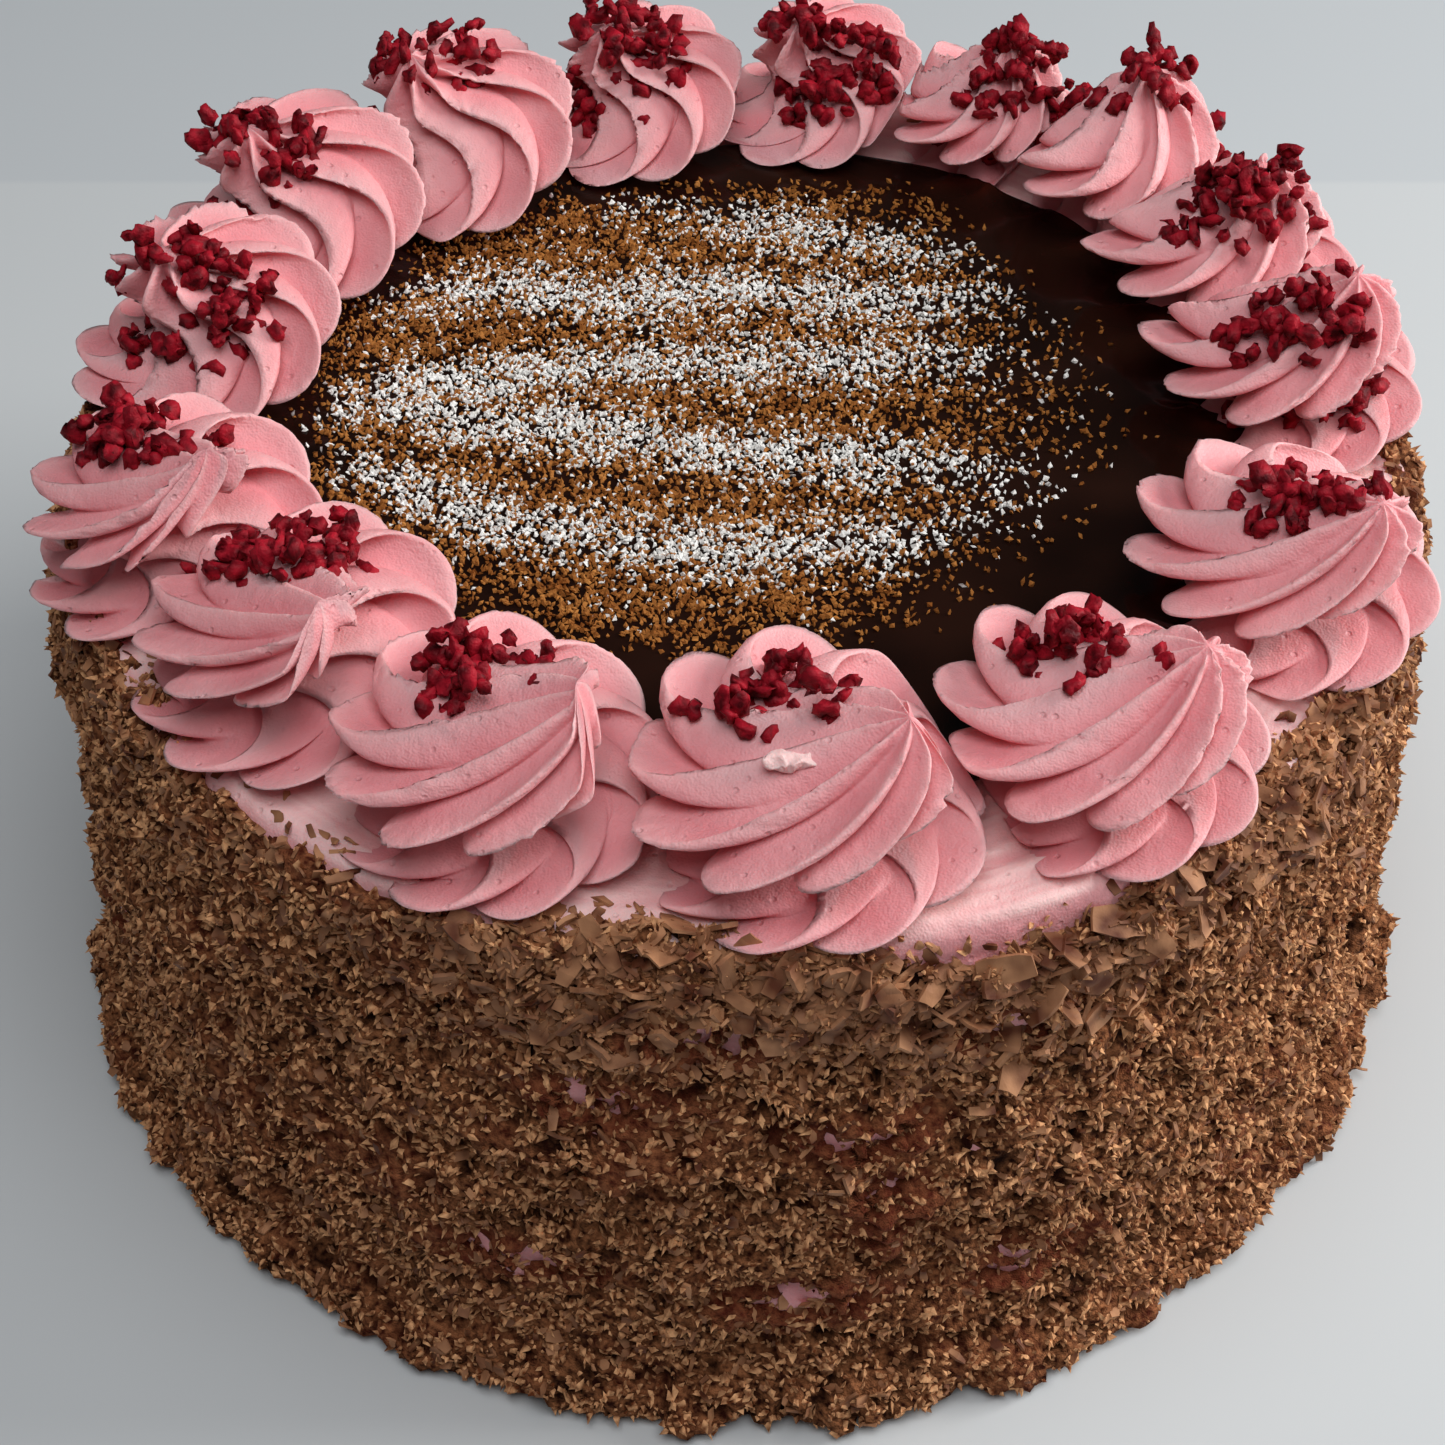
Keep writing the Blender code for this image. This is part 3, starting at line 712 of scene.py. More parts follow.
# Each row: angle in degrees, height of the lower edge, half width in degrees and depth.
LEDGES = (
    (-92.0, 0.062, 20.0, 0.0022),
    (-72.0, 0.046, 12.0, 0.0026),
    (35.0, 0.055, 22.0, 0.0020),
    (150.0, 0.068, 18.0, 0.0022),
    (190.0, 0.080, 9.0, 0.0030),
)
LEDGE_RISE = 0.020
LEDGE_GRAIN = 0.012
LEDGE_RAGGED = 0.004
COAT_THICKNESS = 0.0013


def soft_step(low, high, value):
    """Rise softly from 0 to 1 between low and high."""
    share = min(max((value - low) / (high - low), 0.0), 1.0)
    return share * share * (3.0 - 2.0 * share)


def coat_relief(angle, height):
    """How far the chocolate coat stands out from the plain wall at one place."""
    place = Vector((math.cos(angle), math.sin(angle), 0.0)) * WALL_RADIUS_TOP
    place.z = height
    lumps = noise.noise(place / LUMP_SIZE) * LUMP_DEPTH
    patches = noise.noise(place / PATCH_SIZE + Vector((7.0, 3.0, 1.0))) * PATCH_DEPTH
    ledge = 0.0
    for centre, edge, half_width, depth in LEDGES:
        turn = (math.degrees(angle) - centre + 180.0) % 360.0 - 180.0
        across = max(0.0, 1.0 - (turn / half_width) ** 2)
        ragged = edge + noise.noise(place / LEDGE_GRAIN) * LEDGE_RAGGED
        up = soft_step(ragged - 0.002, ragged + 0.001, height)
        down = 1.0 - soft_step(ragged + 0.5 * LEDGE_RISE, ragged + LEDGE_RISE, height)
        ledge += depth * across * up * down
    return lumps + patches + ledge


front = coat_relief(math.radians(-90), 0.07)
print("coat stands out at the front by", round(front * 1000, 2), "mm")

# %% Turned bodies
def turned_body(name, rows, around):
    """A closed mesh turned from rows of radius, height and share of relief."""
    places = [(0.0, 0.0, rows[0][1])]
    for radius, height, share in rows:
        for step in range(around):
            angle = 2.0 * math.pi * step / around
            reach = radius + (share * coat_relief(angle, height) if share else 0.0)
            places.append((reach * math.cos(angle), reach * math.sin(angle), height))
    places.append((0.0, 0.0, rows[-1][1]))
    last = len(places) - 1
    faces = []
    for step in range(around):
        following = (step + 1) % around
        faces.append((0, 1 + step, 1 + following))
        base = 1 + (len(rows) - 1) * around
        faces.append((last, base + following, base + step))
        for row in range(len(rows) - 1):
            low = 1 + row * around
            high = low + around
            faces.append((low + step, high + step, high + following, low + following))
    mesh = bpy.data.meshes.new(name)
    mesh.from_pydata(places, [], faces)
    return mesh


def spaced(first, last, step):
    """Evenly spaced values from first to last, about one step apart."""
    count = max(2, round(abs(last - first) / step) + 1)
    return [float(value) for value in np.linspace(first, last, count)]


def wall_rows(step, inset):
    """Rows down the wall, from below the rim to the foot."""
    rows = []
    for height in spaced(WALL_TOP_Z, WALL_FOOT_Z, step):
        share = (height - WALL_FOOT_Z) / (WALL_TOP_Z - WALL_FOOT_Z)
        radius = WALL_RADIUS_FOOT + share * (WALL_RADIUS_TOP - WALL_RADIUS_FOOT)
        rows.append((radius - inset, height, 1.0 - 0.6 * share ** 6))
    return rows


def rim_rows(inset, steps, lift):
    """Rows round the rounded top edge, from the flat top to the wall."""
    rows = []
    for share in spaced(0.0, 1.0, 1.0 / steps)[1:-1]:
        turn = 0.5 * math.pi * share
        radius = TOP_FLAT_RADIUS + (WALL_RADIUS_TOP - inset - TOP_FLAT_RADIUS) * math.sin(turn)
        height = WALL_TOP_Z + (cake_top + lift - WALL_TOP_Z) * math.cos(turn)
        rows.append((radius, height, 0.3 * share))
    return rows


print("rows down the wall:", len(wall_rows(0.001, 0.0)), "at a millimetre each")

# %% Where the coat ends
RIM_BORDER = -0.0024
# Each row: angle and half width in degrees, and how far the border dips.
BORDER_DIPS = ((-69.0, 15.0, 0.0095), (-120.0, 26.0, 0.0036))
# Each row: angle in degrees, height, half width and half height.
BARE_PATCHES = (
    (-101.0, 0.077, 0.011, 0.0045),
    (-81.0, 0.070, 0.010, 0.0040),
    (-66.0, 0.027, 0.010, 0.0050),
    (-108.0, 0.033, 0.012, 0.0045),
    (-85.0, 0.030, 0.012, 0.0050),
    (-79.0, 0.052, 0.006, 0.0100),
    (-93.0, 0.092, 0.008, 0.0040),
    (-70.0, 0.088, 0.008, 0.0035),
    (20.0, 0.040, 0.010, 0.0045),
    (120.0, 0.060, 0.012, 0.0040),
    (200.0, 0.035, 0.010, 0.0045),
)
FLAKE_BAND_CENTRE = -68.0
FLAKE_BAND_WIDTH = 62.0


def from_axis(x, y):
    """Distance from the cake's axis."""
    return (x * x + y * y) ** 0.5


def down_from_rim(recipe, at):
    """Distance from the rim: down the wall, or less than nothing on the top."""
    x, y, z = recipe.split(at)
    radius = from_axis(x, y)
    return (z * -1.0 + cake_top) - (radius * -1.0 + TOP_FLAT_RADIUS).most(0.0)


def toward(recipe, at, degrees, width):
    """1 at one angle of the cake, falling to 0 at width degrees from it."""
    x, y, _ = recipe.split(at)
    turn = math.radians(degrees)
    radius = from_axis(x, y)
    facing = (x * math.cos(turn) + y * math.sin(turn)) / radius.most(0.001)
    return recipe.smooth(math.cos(math.radians(width)), 1.0, facing)


def chocolate_cover(recipe, at):
    """Where chocolate sticks, the depth below its border, and where it lies thin."""
    ragged = recipe.noise(0.013, 1.0, at) * 0.0022 + recipe.noise(0.0032, 2.0, at) * 0.0013
    border = ragged + RIM_BORDER
    for degrees, width, depth in BORDER_DIPS:
        border = border + toward(recipe, at, degrees, width) * depth
    below = down_from_rim(recipe, at) - border
    cover = recipe.smooth(-0.0005, 0.0005, below)
    speckle = recipe.noise(0.0026, 3.0, at) * 2.0
    thin = None
    for angle, height, half_width, half_height in BARE_PATCHES:
        turn = math.radians(angle)
        centre = (math.cos(turn) * WALL_RADIUS_TOP, math.sin(turn) * WALL_RADIUS_TOP, height)
        away = recipe.vector("SUBTRACT", at, centre)
        scale = (1.0 / half_width, 1.0 / half_width, 1.0 / half_height)
        away = recipe.vector("MULTIPLY", away, scale)
        far = recipe.vector("DOT_PRODUCT", away, away) + speckle
        cover = cover * recipe.smooth(0.2, 0.7, far)
        here = 1.0 - recipe.smooth(0.8, 3.2, far)
        thin = here if thin is None else thin.most(here)
    return cover, below, thin


def flake_amounts(recipe, at, cover, below, thin):
    """How thickly small flakes and large curls lie at each place."""
    front = toward(recipe, at, FLAKE_BAND_CENTRE, FLAKE_BAND_WIDTH)
    patchy = recipe.smooth(-0.35, 0.55, recipe.noise(0.016, 2.0, at))
    band = (1.0 - recipe.smooth(0.012, 0.032, below)) * (front * 0.85 + 0.15)
    bedded = cover * (1.0 - thin * 0.6)
    flakes = bedded * (band * 0.80 + patchy * 0.14 + 0.04)
    curls = cover * (band * band * front)
    return flakes, curls


print("bare patches:", len(BARE_PATCHES))

# %% The pink buttercream cover
SWEPT_SIDE = (-62.0, 40.0)
OVERLAP = 0.0005


def cover_recipe():
    """Spread marks on the top rim and small unevenness elsewhere."""
    recipe = Recipe("buttercream cover")
    at = recipe.position()
    x, y, z = recipe.split(at)
    cover, below, _ = chocolate_cover(recipe, at)
    radius = from_axis(x, y)
    streaks = recipe.noise(1.0, 2.0, recipe.join(x * 60.0, y * 60.0, radius * 900.0))
    swept = toward(recipe, at, *SWEPT_SIDE)
    on_top = recipe.smooth(0.1075, 0.1095, z) * recipe.smooth(0.078, 0.086, radius)
    waves = recipe.noise(0.011, 2.0, at)
    lift = on_top * (streaks * (swept * 0.0010 + 0.0003) + waves * 0.0008)
    rough = recipe.noise(0.0035, 3.0, at) * 0.0005 * recipe.smooth(0.004, 0.012, z)
    on_wall = (1.0 - on_top) * recipe.smooth(0.098, 0.112, radius)
    shift = recipe.vector("SCALE", recipe.normal(), lift + rough * on_wall)
    geometry = recipe.entry.outputs["Geometry"]
    near_border = recipe.smooth(-0.0060, OVERLAP, below) * (1.0 - cover)
    kept = recipe.store(geometry, "crumbs", near_border * (on_wall * 0.30 + 0.08))
    kept = recipe.store(kept, "flakes", near_border * 0.28)
    # Painted light: paler streaks on the top rim as painted sheen, and a little paler pink on the
    # wall against its shade.
    pale = on_top * (streaks * 0.9 + 0.80).most(0.0).least(1.0) + on_wall * 0.2
    kept = recipe.store(kept, "pale", pale.least(1.0))
    recipe.finish(recipe.move(kept, Offset=shift), buttercream)
    return recipe


cover_rows = [(0.060, cake_top, 0.0)]
cover_rows += [(radius, cake_top, 0.0) for radius in spaced(0.082, TOP_FLAT_RADIUS, 0.0008)]
cover_rows += rim_rows(COAT_THICKNESS, 6, 0.0)
cover_rows += wall_rows(0.0014, COAT_THICKNESS)
cover_rows += [(WALL_RADIUS_FOOT - 0.002, 0.008, 0.0), (WALL_RADIUS_FOOT - 0.004, 0.0005, 0.0)]
cream_cover = grow(cover_recipe(), "buttercream_cover", turned_body("cover", cover_rows, 520))
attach(cream_cover, "root")
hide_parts("cake_body")
print("buttercream cover:", triangles(cream_cover), "triangles")

# %% The chocolate coat
GRAIN_DEPTH = 0.0015
CLOD_DEPTH = 0.0032
HOLE_DEPTH = 0.0026
COAT_RISE = 0.0007
COAT_LEAST = -0.0010
BARE_SINK = 0.0030


def coat_recipe():
    """Crumbly relief, and a dip below the pink wherever no chocolate sticks."""
    recipe = Recipe("chocolate coat")
    at = recipe.position()
    x, y, z = recipe.split(at)
    cover, below, thin = chocolate_cover(recipe, at)
    grains = recipe.noise(0.0018, 3.0, at, 0.7) * GRAIN_DEPTH
    clods = recipe.noise(0.0060, 2.0, at) * CLOD_DEPTH
    off_floor = recipe.smooth(0.0002, 0.0025, z)
    holes = recipe.smooth(0.02, 0.40, recipe.noise(0.0038, 2.0, at))
    worn = recipe.smooth(-0.05, 0.45, recipe.noise(0.019, 2.0, at))
    relief = (grains + clods + COAT_RISE - holes * HOLE_DEPTH).most(COAT_LEAST) * off_floor
    depth = relief * cover - (1.0 - cover) * BARE_SINK
    radius = from_axis(x, y)
    inside = 1.0 - recipe.smooth(0.1030, 0.1060, radius)
    depth = depth * (1.0 - inside) - inside * 0.001
    shift = recipe.vector("SCALE", recipe.normal(), depth * off_floor)
    flakes, curls = flake_amounts(recipe, at, cover, below, thin)
    outer = recipe.smooth(0.1035, 0.1065, radius) * recipe.smooth(0.0018, 0.0034, z)
    loose = cover * outer * (1.0 - thin * 0.55) * (1.0 - holes * 0.9) * (1.08 - worn * 0.55)
    kept = recipe.store(recipe.entry.outputs["Geometry"], "crumbs", loose)
    # The holes are stored for the painted shade that darkens the coat's hollows.
    kept = recipe.store(kept, "hollow", holes)
    kept = recipe.store(kept, "thin", (thin * 0.55).most(worn * 0.30))
    kept = recipe.store(kept, "flakes", flakes * outer)
    kept = recipe.store(kept, "curls", curls * outer)
    recipe.finish(recipe.move(kept, Offset=shift), packed)
    return recipe


coat_rows = [(0.095, cake_top - 0.006, 0.0), (0.1030, cake_top - 0.0045, 0.0)]
coat_rows += [
    (radius, cake_top + 0.0002, 0.0) for radius in spaced(0.1055, TOP_FLAT_RADIUS, 0.0008)]
coat_rows += rim_rows(0.0, 6, 0.0002)
coat_rows += wall_rows(0.00088, 0.0)
coat_rows += [
    (WALL_RADIUS_FOOT - 0.0003, SKIRT_HEIGHT + 0.0040, 0.7),
    (WALL_RADIUS_FOOT - 0.0006, SKIRT_HEIGHT + 0.0025, 0.5),
    (WALL_RADIUS_FOOT + 0.0004, SKIRT_HEIGHT + 0.0012, 0.7),
    (SKIRT_RADIUS - 0.0034, SKIRT_HEIGHT, 0.9),
    (SKIRT_RADIUS - 0.0022, SKIRT_HEIGHT - 0.0010, 1.0),
    (SKIRT_RADIUS - 0.0014, SKIRT_HEIGHT - 0.0020, 1.1),
    (SKIRT_RADIUS - 0.0010, SKIRT_HEIGHT - 0.0030, 1.1),
    (SKIRT_RADIUS - 0.0006, SKIRT_HEIGHT - 0.0042, 1.0),
    (SKIRT_RADIUS - 0.0003, SKIRT_HEIGHT - 0.0054, 0.95),
    (SKIRT_RADIUS, 0.0034, 0.9),
    (SKIRT_RADIUS, 0.0025, 0.9),
    (SKIRT_RADIUS - 0.0014, 0.0012, 0.5),
    (UNDERSIDE_RADIUS, 0.0, 0.0),
]
coat = grow(coat_recipe(), "chocolate_coat", turned_body("coat", coat_rows, 720))
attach(coat, "root")
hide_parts("cake_body")
print("chocolate coat:", triangles(coat), "triangles")

# %% [markdown]
# ## Grated chocolate
#
# Grating a bar gives three things: crumbs about a millimetre across, small flakes, and
# a few larger curls that land near the rim. Each kind is one piece. Points are spread
# over the coat, a small solid is put on each, and all of them are then pushed about by
# one noise field, so no two are alike.

# %% Points on a surface
def random_number(recipe, low, high, seed):
    """A number or a vector drawn afresh for each point."""
    vector = isinstance(low, tuple)
    kind = "FLOAT_VECTOR" if vector else "FLOAT"
    made = recipe.node("FunctionNodeRandomValue", {"Seed": seed}, data_type=kind)
    recipe.feed(shown(made.inputs, "Min"), low)
    recipe.feed(shown(made.inputs, "Max"), high)
    socket = shown(made.outputs, "Value")
    return socket if vector else Field(recipe, socket)


def random_turn(recipe, most, seed):
    """A turn drawn afresh for each point, up to three angles either way."""
    least = tuple(-angle for angle in most)
    twist = random_number(recipe, least, most, seed)
    return recipe.node("FunctionNodeEulerToRotation", {"Euler": twist}).outputs[0]


def surfaces(recipe, things):
    """The meshes of several pieces together."""
    together = recipe.node("GeometryNodeJoinGeometry")
    for thing in things:
        source = recipe.node("GeometryNodeObjectInfo", {"Object": thing})
        recipe.tree.links.new(source.outputs["Geometry"], together.inputs[0])
    return together.outputs[0]


def spread_points(recipe, ground, weight, per_square_metre, seed, apart=0.0):
    """Points over a surface, as thick as its weight attribute says."""
    spread = recipe.node("GeometryNodeDistributePointsOnFaces", {"Mesh": ground, "Seed": seed})
    spread.distribute_method = "POISSON" if apart else "RANDOM"
    density = recipe.attribute(weight)
    if apart:
        return recipe.fill(spread, {
            "Distance Min": apart, "Density Max": per_square_metre, "Density Factor": density})
    recipe.feed(shown(spread.inputs, "Density"), density * per_square_metre)
    return spread


print("points can be spread over", coat.name)

# %% Small solids on the points
def roughened(recipe, geometry, grain, depth):
    """Push every point of the mesh about with one noise field."""
    push = recipe.node("ShaderNodeTexNoise", {
        "Scale": 1.0 / grain, "Detail": 1.0, "Vector": recipe.position()})
    centred = recipe.vector("SUBTRACT", push.outputs["Color"], (0.5, 0.5, 0.5))
    return recipe.move(geometry, Offset=recipe.vector("SCALE", centred, depth))


def bead(recipe):
    """A small solid with eight faces."""
    made = recipe.node("GeometryNodeMeshUVSphere", {"Segments": 4, "Rings": 2, "Radius": 0.5})
    return made.outputs["Mesh"]


def bent_slab(along, across, bow, curl):
    """A thin slab one unit long, bowed along its length and curled across it."""
    def make(recipe):
        slab = recipe.node("GeometryNodeMeshCube", {
            "Size": (1.0, 1.0, 1.0), "Vertices X": along, "Vertices Y": across,
            "Vertices Z": 2})
        x, y, z = recipe.split(recipe.position())
        arch = (x * x) * -bow + (y * y) * -curl
        narrow = 1.0 - x * x * 1.1
        return recipe.move(slab.outputs["Mesh"], Position=recipe.join(x, y * narrow, z + arch))
    return make


class Scatter(NamedTuple):
    """One kind of small thing: its solid, its sizes and how it is spread."""

    finish: object
    solid: object
    weight: str
    per_square_metre: float
    seeds: tuple
    tilt: float
    smallest: tuple
    largest: tuple
    grain: float
    push: float
    apart: float = 0.0


def scattered(recipe, ground, kind):
    """Put the solid on points over the ground, leaning at random, and roughen them all."""
    spread = spread_points(
        recipe, ground, kind.weight, kind.per_square_metre, kind.seeds[0], kind.apart)
    turn = random_turn(recipe, (kind.tilt, kind.tilt, math.pi), kind.seeds[1])
    facing = recipe.node("FunctionNodeRotateRotation", {
        "Rotation": spread.outputs["Rotation"], "Rotate By": turn}, rotation_space="LOCAL")
    laid = recipe.node("GeometryNodeInstanceOnPoints", {
        "Points": spread.outputs["Points"], "Instance": kind.solid(recipe),
        "Rotation": facing.outputs[0],
        "Scale": random_number(recipe, kind.smallest, kind.largest, kind.seeds[1] + 1)})
    real = recipe.real(laid.outputs[0])
    recipe.finish(roughened(recipe, real, kind.grain, kind.push), kind.finish, smooth=False)
    return recipe


print("each kind has", Scatter._fields)

# %% Grated chocolate
FINE_CRUMBS = Scatter(
    finish=grated, solid=bead, weight="crumbs", per_square_metre=250000.0, seeds=(11, 21),
    tilt=1.5, smallest=(0.0009, 0.0006, 0.0005), largest=(0.0020, 0.0013, 0.0010),
    grain=0.0011, push=0.0009)
COARSE_CRUMBS = Scatter(
    finish=grated, solid=bead, weight="crumbs", per_square_metre=235000.0, seeds=(111, 121),
    tilt=1.5, smallest=(0.0014, 0.0009, 0.0007), largest=(0.0038, 0.0019, 0.0015),
    grain=0.0011, push=0.0013)
FLAKES = Scatter(
    finish=shaving, solid=bent_slab(3, 2, 0.9, 0.0), weight="flakes",
    per_square_metre=520000.0, seeds=(12, 31), tilt=0.85,
    smallest=(0.0012, 0.0007, 0.0003), largest=(0.0042, 0.0021, 0.0005),
    grain=0.0014, push=0.0012)
CURLS = Scatter(
    finish=shaving, solid=bent_slab(6, 3, 0.8, 0.3), weight="curls",
    per_square_metre=110000.0, seeds=(13, 41), tilt=0.60,
    smallest=(0.0036, 0.0022, 0.0004), largest=(0.0098, 0.0052, 0.0008),
    grain=0.0030, push=0.0012, apart=0.0024)
GRATED_CHOCOLATE = (
    ("chocolate_fine_crumbs", FINE_CRUMBS, (coat, cream_cover)),
    ("chocolate_coarse_crumbs", COARSE_CRUMBS, (coat, cream_cover)),
    ("chocolate_flakes", FLAKES, (coat, cream_cover)),
    ("chocolate_curls", CURLS, (coat,)),
)

for name, kind, ground in GRATED_CHOCOLATE:
    recipe = Recipe(name)
    piece = grow(scattered(recipe, surfaces(recipe, ground), kind), name, closed=False)
    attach(piece, "root")
    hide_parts("cake_body")
    print(name, triangles(piece), "triangles")

# %% [markdown]
# ## Glaze and dusting
#
# The glaze was poured warm into the ring of rosettes, so it lies level and climbs a
# little where it wets the buttercream. Sugar and cocoa were sifted on from above in
# sweeps, which left bands of white with brown between them.

# %% The glaze
GLAZE_REACH = 0.0865
GLAZE_DEPTH = 0.0023
GLAZE_BOTTOM = 0.0004
GLAZE_INNER = 0.020
CLIMB_HEIGHT = 0.0014
CLIMB_WIDTH = 0.0013
FILM_WIDTH = 0.0007
SWELL_HEIGHT = 0.00025


def to_rosettes(recipe):
    """Distance to the nearest rosette."""
    near = recipe.node(
        "GeometryNodeProximity", {0: surfaces(recipe, rosettes)}, target_element="FACES")
    return Field(recipe, near.outputs["Distance"])


def glaze_recipe():
    """A level pool that climbs where it meets a rosette."""
    recipe = Recipe("chocolate glaze")
    distance = to_rosettes(recipe)
    at = recipe.position()
    x, y, z = recipe.split(at)
    top = recipe.smooth(cake_top + 0.0012, cake_top + 0.0018, z)
    climb = (distance * (-1.0 / CLIMB_WIDTH)).exp() * CLIMB_HEIGHT
    swell = recipe.noise(0.028, 1.0, at) * SWELL_HEIGHT
    lifted = recipe.join(x, y, z + top * (climb + swell))
    film = (distance * (-1.0 / FILM_WIDTH)).exp()
    kept = recipe.store(recipe.entry.outputs["Geometry"], "film", film)
    recipe.finish(recipe.move(kept, Position=lifted), glaze)
    return recipe


glaze_top = cake_top + GLAZE_DEPTH
glaze_foot = cake_top + GLAZE_BOTTOM
pool_radii = spaced(GLAZE_INNER, 0.046, 0.004) + spaced(0.0470, GLAZE_REACH, 0.0006)
glaze_rows = [(radius, glaze_top, 0.0) for radius in pool_radii]
glaze_rows += [
    (GLAZE_REACH + 0.0008, glaze_top - 0.0008, 0.0),
    (GLAZE_REACH + 0.0004, glaze_foot, 0.0),
    (GLAZE_INNER, glaze_foot, 0.0),
]
pool = grow(glaze_recipe(), "dark_glaze", turned_body("pool", glaze_rows, 440))
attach(pool, "root")
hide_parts("chocolate_glaze")
print("glaze:", triangles(pool), "triangles")

# %% Sugar and cocoa
# Each row: where a band crosses the middle, its slope and its bend.
WHITE_BANDS = (
    (0.0634, -0.250, 0.0),
    (0.0395, -0.035, 0.0),
    (0.0205, 0.050, -1.8),
    (-0.0295, -0.030, 4.85),
    (-0.0040, -0.160, 0.5),
)
BAND_WIDTH = 0.0062
DUST_REACH = 0.084
SUGAR = Scatter(
    finish=icing, solid=bead, weight="dust", per_square_metre=2300000.0, seeds=(51, 54),
    tilt=1.5, smallest=(0.0005, 0.0005, 0.0004), largest=(0.0017, 0.0015, 0.0011),
    grain=0.0008, push=0.0009)
COCOA = Scatter(
    finish=cocoa, solid=bead, weight="dust", per_square_metre=1900000.0, seeds=(61, 64),
    tilt=1.5, smallest=(0.0005, 0.0005, 0.0004), largest=(0.0018, 0.0015, 0.0011),
    grain=0.0008, push=0.0009)


def dusting_recipe(name, kind, white):
    """Clumps of a sifted powder, thick in bands."""
    recipe = Recipe(name)
    disc = recipe.node("GeometryNodeMeshCircle", {
        "Vertices": 96, "Radius": DUST_REACH}, fill_type="TRIANGLE_FAN")
    level = recipe.move(disc.outputs["Mesh"], Offset=(0.0, 0.0, glaze_top + 0.0002))
    fine = recipe.node("GeometryNodeSubdivideMesh", {"Mesh": level, "Level": 5}).outputs[0]
    at = recipe.position()
    x, y, _ = recipe.split(at)
    wander = recipe.noise(0.030, 2.0, at) * 0.0050 + recipe.noise(0.009, 2.0, at) * 0.0042
    band = None
    for middle, slope, bend in WHITE_BANDS:
        away = (y - middle - x * slope - x * x * bend + wander) / BAND_WIDTH
        here = (away * away * -1.0).exp()
        band = here if band is None else band.most(here)
    aside = ((x + 0.006) / 0.067) ** 2.0 + ((y - 0.011) / 0.060) ** 2.0
    ragged = aside + recipe.noise(0.020, 2.0, at) * 0.35
    right = 1.0 - recipe.smooth(0.005, 0.055, x - y * 0.15) * 0.80
    patches = recipe.smooth(-0.75, 0.35, recipe.noise(0.0075, 3.0, at)) + 0.15
    if white:
        weight = (1.0 - recipe.smooth(0.55, 1.15, ragged)) * right * (band * 0.90 + 0.10)
    else:
        bands = (1.0 - band) * 0.80 + 0.30
        weight = (1.0 - recipe.smooth(0.70, 1.35, ragged)) * right * bands
    clear = recipe.smooth(0.0015, 0.0040, to_rosettes(recipe))
    weighed = recipe.store(fine, "dust", weight * patches * clear)
    return scattered(recipe, weighed, kind)


for name, kind, white in (("icing_sugar", SUGAR, True), ("cocoa_dust", COCOA, False)):
    piece = grow(dusting_recipe(name, kind, white), name, closed=False)
    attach(piece, "root")
    print(name, triangles(piece), "triangles")

# %% [markdown]
# ## Dried raspberries
#
# Freeze-dried raspberry breaks into bits of a few small beads each. Points are spread
# over the rosettes round the place where each heap lies, each point is repeated a few
# times close by, and a rough bead is put on every copy.

# %% The raspberry crumbs
HEAP_SPREAD = (0.0124, 0.0086)
HEAPS_PER_SQUARE_METRE = 420000.0
HEAPS_APART = 0.0026
BEADS_IN_A_CLUMP = (1.2, 4.2)
CLUMP_REACH = 0.0019
SMALLEST_BEAD = (0.0021, 0.0016, 0.0013)
LARGEST_BEAD = (0.0060, 0.0040, 0.0029)
BEAD_GRAIN = 0.0011
BEAD_PUSH = 0.0027


def heap_weight(recipe):
    """How thickly raspberry lies at each place, from the heap's middle on each rosette."""
    at = recipe.position()
    total = None
    for angle, ring, *_, heap in ROSETTES:
        middle = on_ring(angle, ring) + Vector((heap[0], heap[1], 0.0)) * MILLIMETRE
        away = recipe.vector("SUBTRACT", at, tuple(middle))
        scale = (1.0 / HEAP_SPREAD[0], 1.0 / HEAP_SPREAD[1], 0.0)
        level = recipe.vector("MULTIPLY", away, scale)
        share = (recipe.vector("DOT_PRODUCT", level, level) * -1.0).exp()
        total = share if total is None else total.most(share)
    upward = recipe.split(recipe.normal())[2]
    heaped = recipe.smooth(0.22, 0.55, total) + total * 0.05
    return heaped * recipe.smooth(0.05, 0.45, upward)


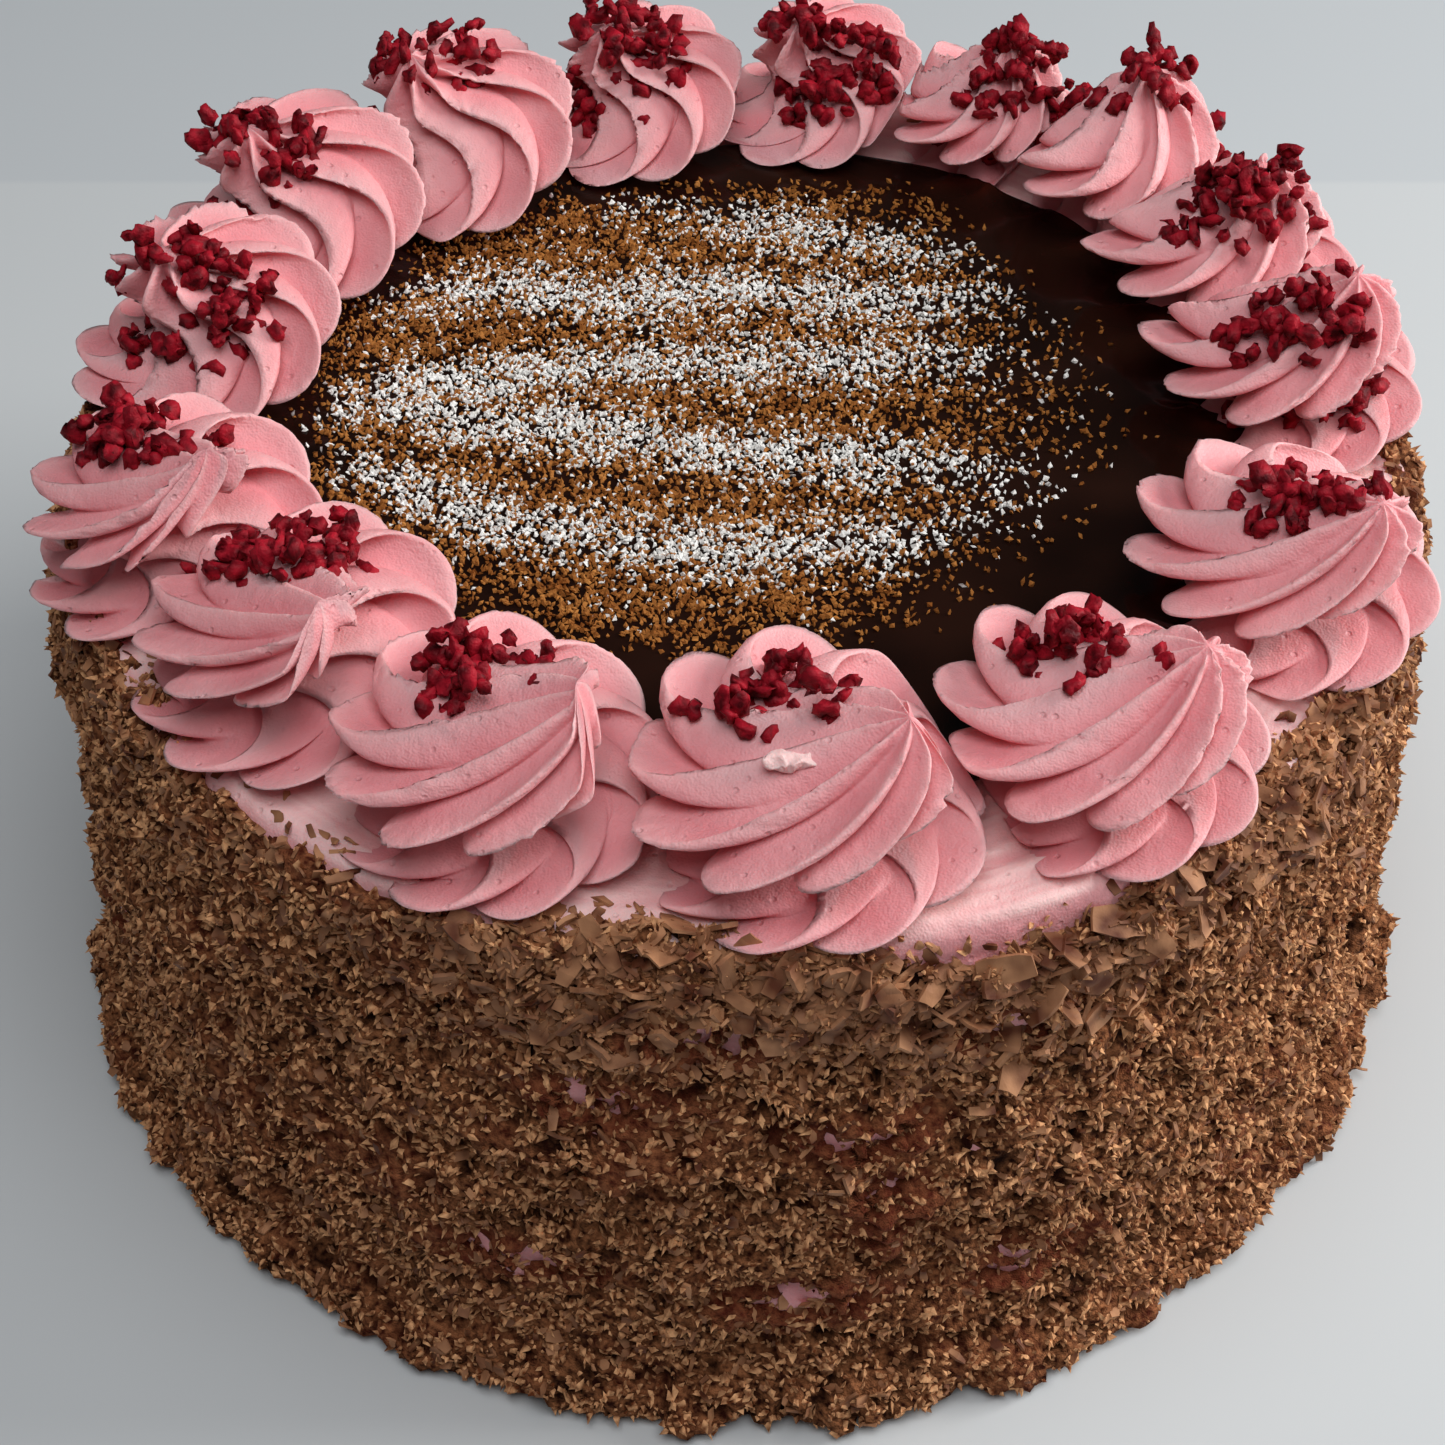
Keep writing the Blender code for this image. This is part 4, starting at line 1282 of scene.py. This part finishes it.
def raspberry_recipe():
    """Clumps of small beads heaped on the rosettes."""
    recipe = Recipe("raspberry crumbs")
    weighed = recipe.store(surfaces(recipe, rosettes), "heap", heap_weight(recipe))
    spread = spread_points(recipe, weighed, "heap", HEAPS_PER_SQUARE_METRE, 71, HEAPS_APART)
    heap = recipe.attribute("heap")
    height = recipe.split(recipe.position())[2]
    headroom = 1.0 - recipe.smooth(cake_top + 0.0235, cake_top + 0.0285, height)
    raise_by = random_number(recipe, 0.0, 0.0048, 72) * heap * heap * headroom
    up = recipe.join(0.0, 0.0, raise_by + 0.0006)
    lifted = recipe.move(spread.outputs["Points"], Offset=up)
    amount = random_number(recipe, *BEADS_IN_A_CLUMP, 73)
    copies = recipe.node("GeometryNodeDuplicateElements", {
        "Geometry": lifted, "Amount": amount}, domain="POINT")
    scatter = random_number(recipe, (-1.0, -1.0, -0.8), (1.0, 1.0, 0.8), 74)
    loose = recipe.move(copies.outputs[0], Offset=recipe.vector("SCALE", scatter, CLUMP_REACH))
    ball = recipe.node("GeometryNodeMeshIcoSphere", {"Radius": 0.5, "Subdivisions": 2})
    laid = recipe.node("GeometryNodeInstanceOnPoints", {
        "Points": loose, "Instance": ball.outputs["Mesh"],
        "Rotation": random_turn(recipe, (3.0, 3.0, 3.0), 75),
        "Scale": random_number(recipe, SMALLEST_BEAD, LARGEST_BEAD, 76)})
    real = recipe.real(laid.outputs[0])
    recipe.finish(roughened(recipe, real, BEAD_GRAIN, BEAD_PUSH), raspberry)
    return recipe


berries = grow(raspberry_recipe(), "raspberry_crumbs", closed=False)
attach(berries, "root")
print("raspberry:", triangles(berries), "triangles")

# %% [markdown]
# ## A torn bit of buttercream
#
# A bit of paler buttercream clings to the front rosette. It is a ball pressed flat and
# pushed about by the same noise as the crumbs. A ray from above finds its place.

# %% A torn bit of buttercream
DAB_PLACE = (0.0066, -0.0932)
DAB_SIZE = (0.0044, 0.0017, 0.0012)
DAB_GRAIN = 0.0026
DAB_TEAR = 0.0026


def dab_recipe(spot):
    """A small torn lump, paler than the swirl it lies on."""
    recipe = Recipe("torn bit of buttercream")
    ball = recipe.node("GeometryNodeMeshIcoSphere", {"Radius": 1.0, "Subdivisions": 5})
    x, y, z = recipe.split(recipe.position())
    thinner = 1.0 - x * 0.35
    place = recipe.join(
        x * DAB_SIZE[0] + spot.x,
        y * thinner * DAB_SIZE[1] + spot.y,
        z * thinner * DAB_SIZE[2] + spot.z)
    shaped = recipe.move(ball.outputs["Mesh"], Position=place)
    torn = roughened(recipe, shaped, DAB_GRAIN, DAB_TEAR)
    recipe.finish(recipe.store(torn, "pale", 1.0), buttercream)
    return recipe


bpy.context.view_layer.update()
_, dab_spot, _, _ = rosettes[0].ray_cast(Vector((*DAB_PLACE, 0.2)), Vector((0.0, 0.0, -1.0)))
dab = grow(dab_recipe(dab_spot + Vector((0.0, 0.0, 0.0004))), "buttercream_dab", closed=False)
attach(dab, "root")
print("torn bit at", [round(value * 1000.0, 1) for value in dab_spot], "mm")
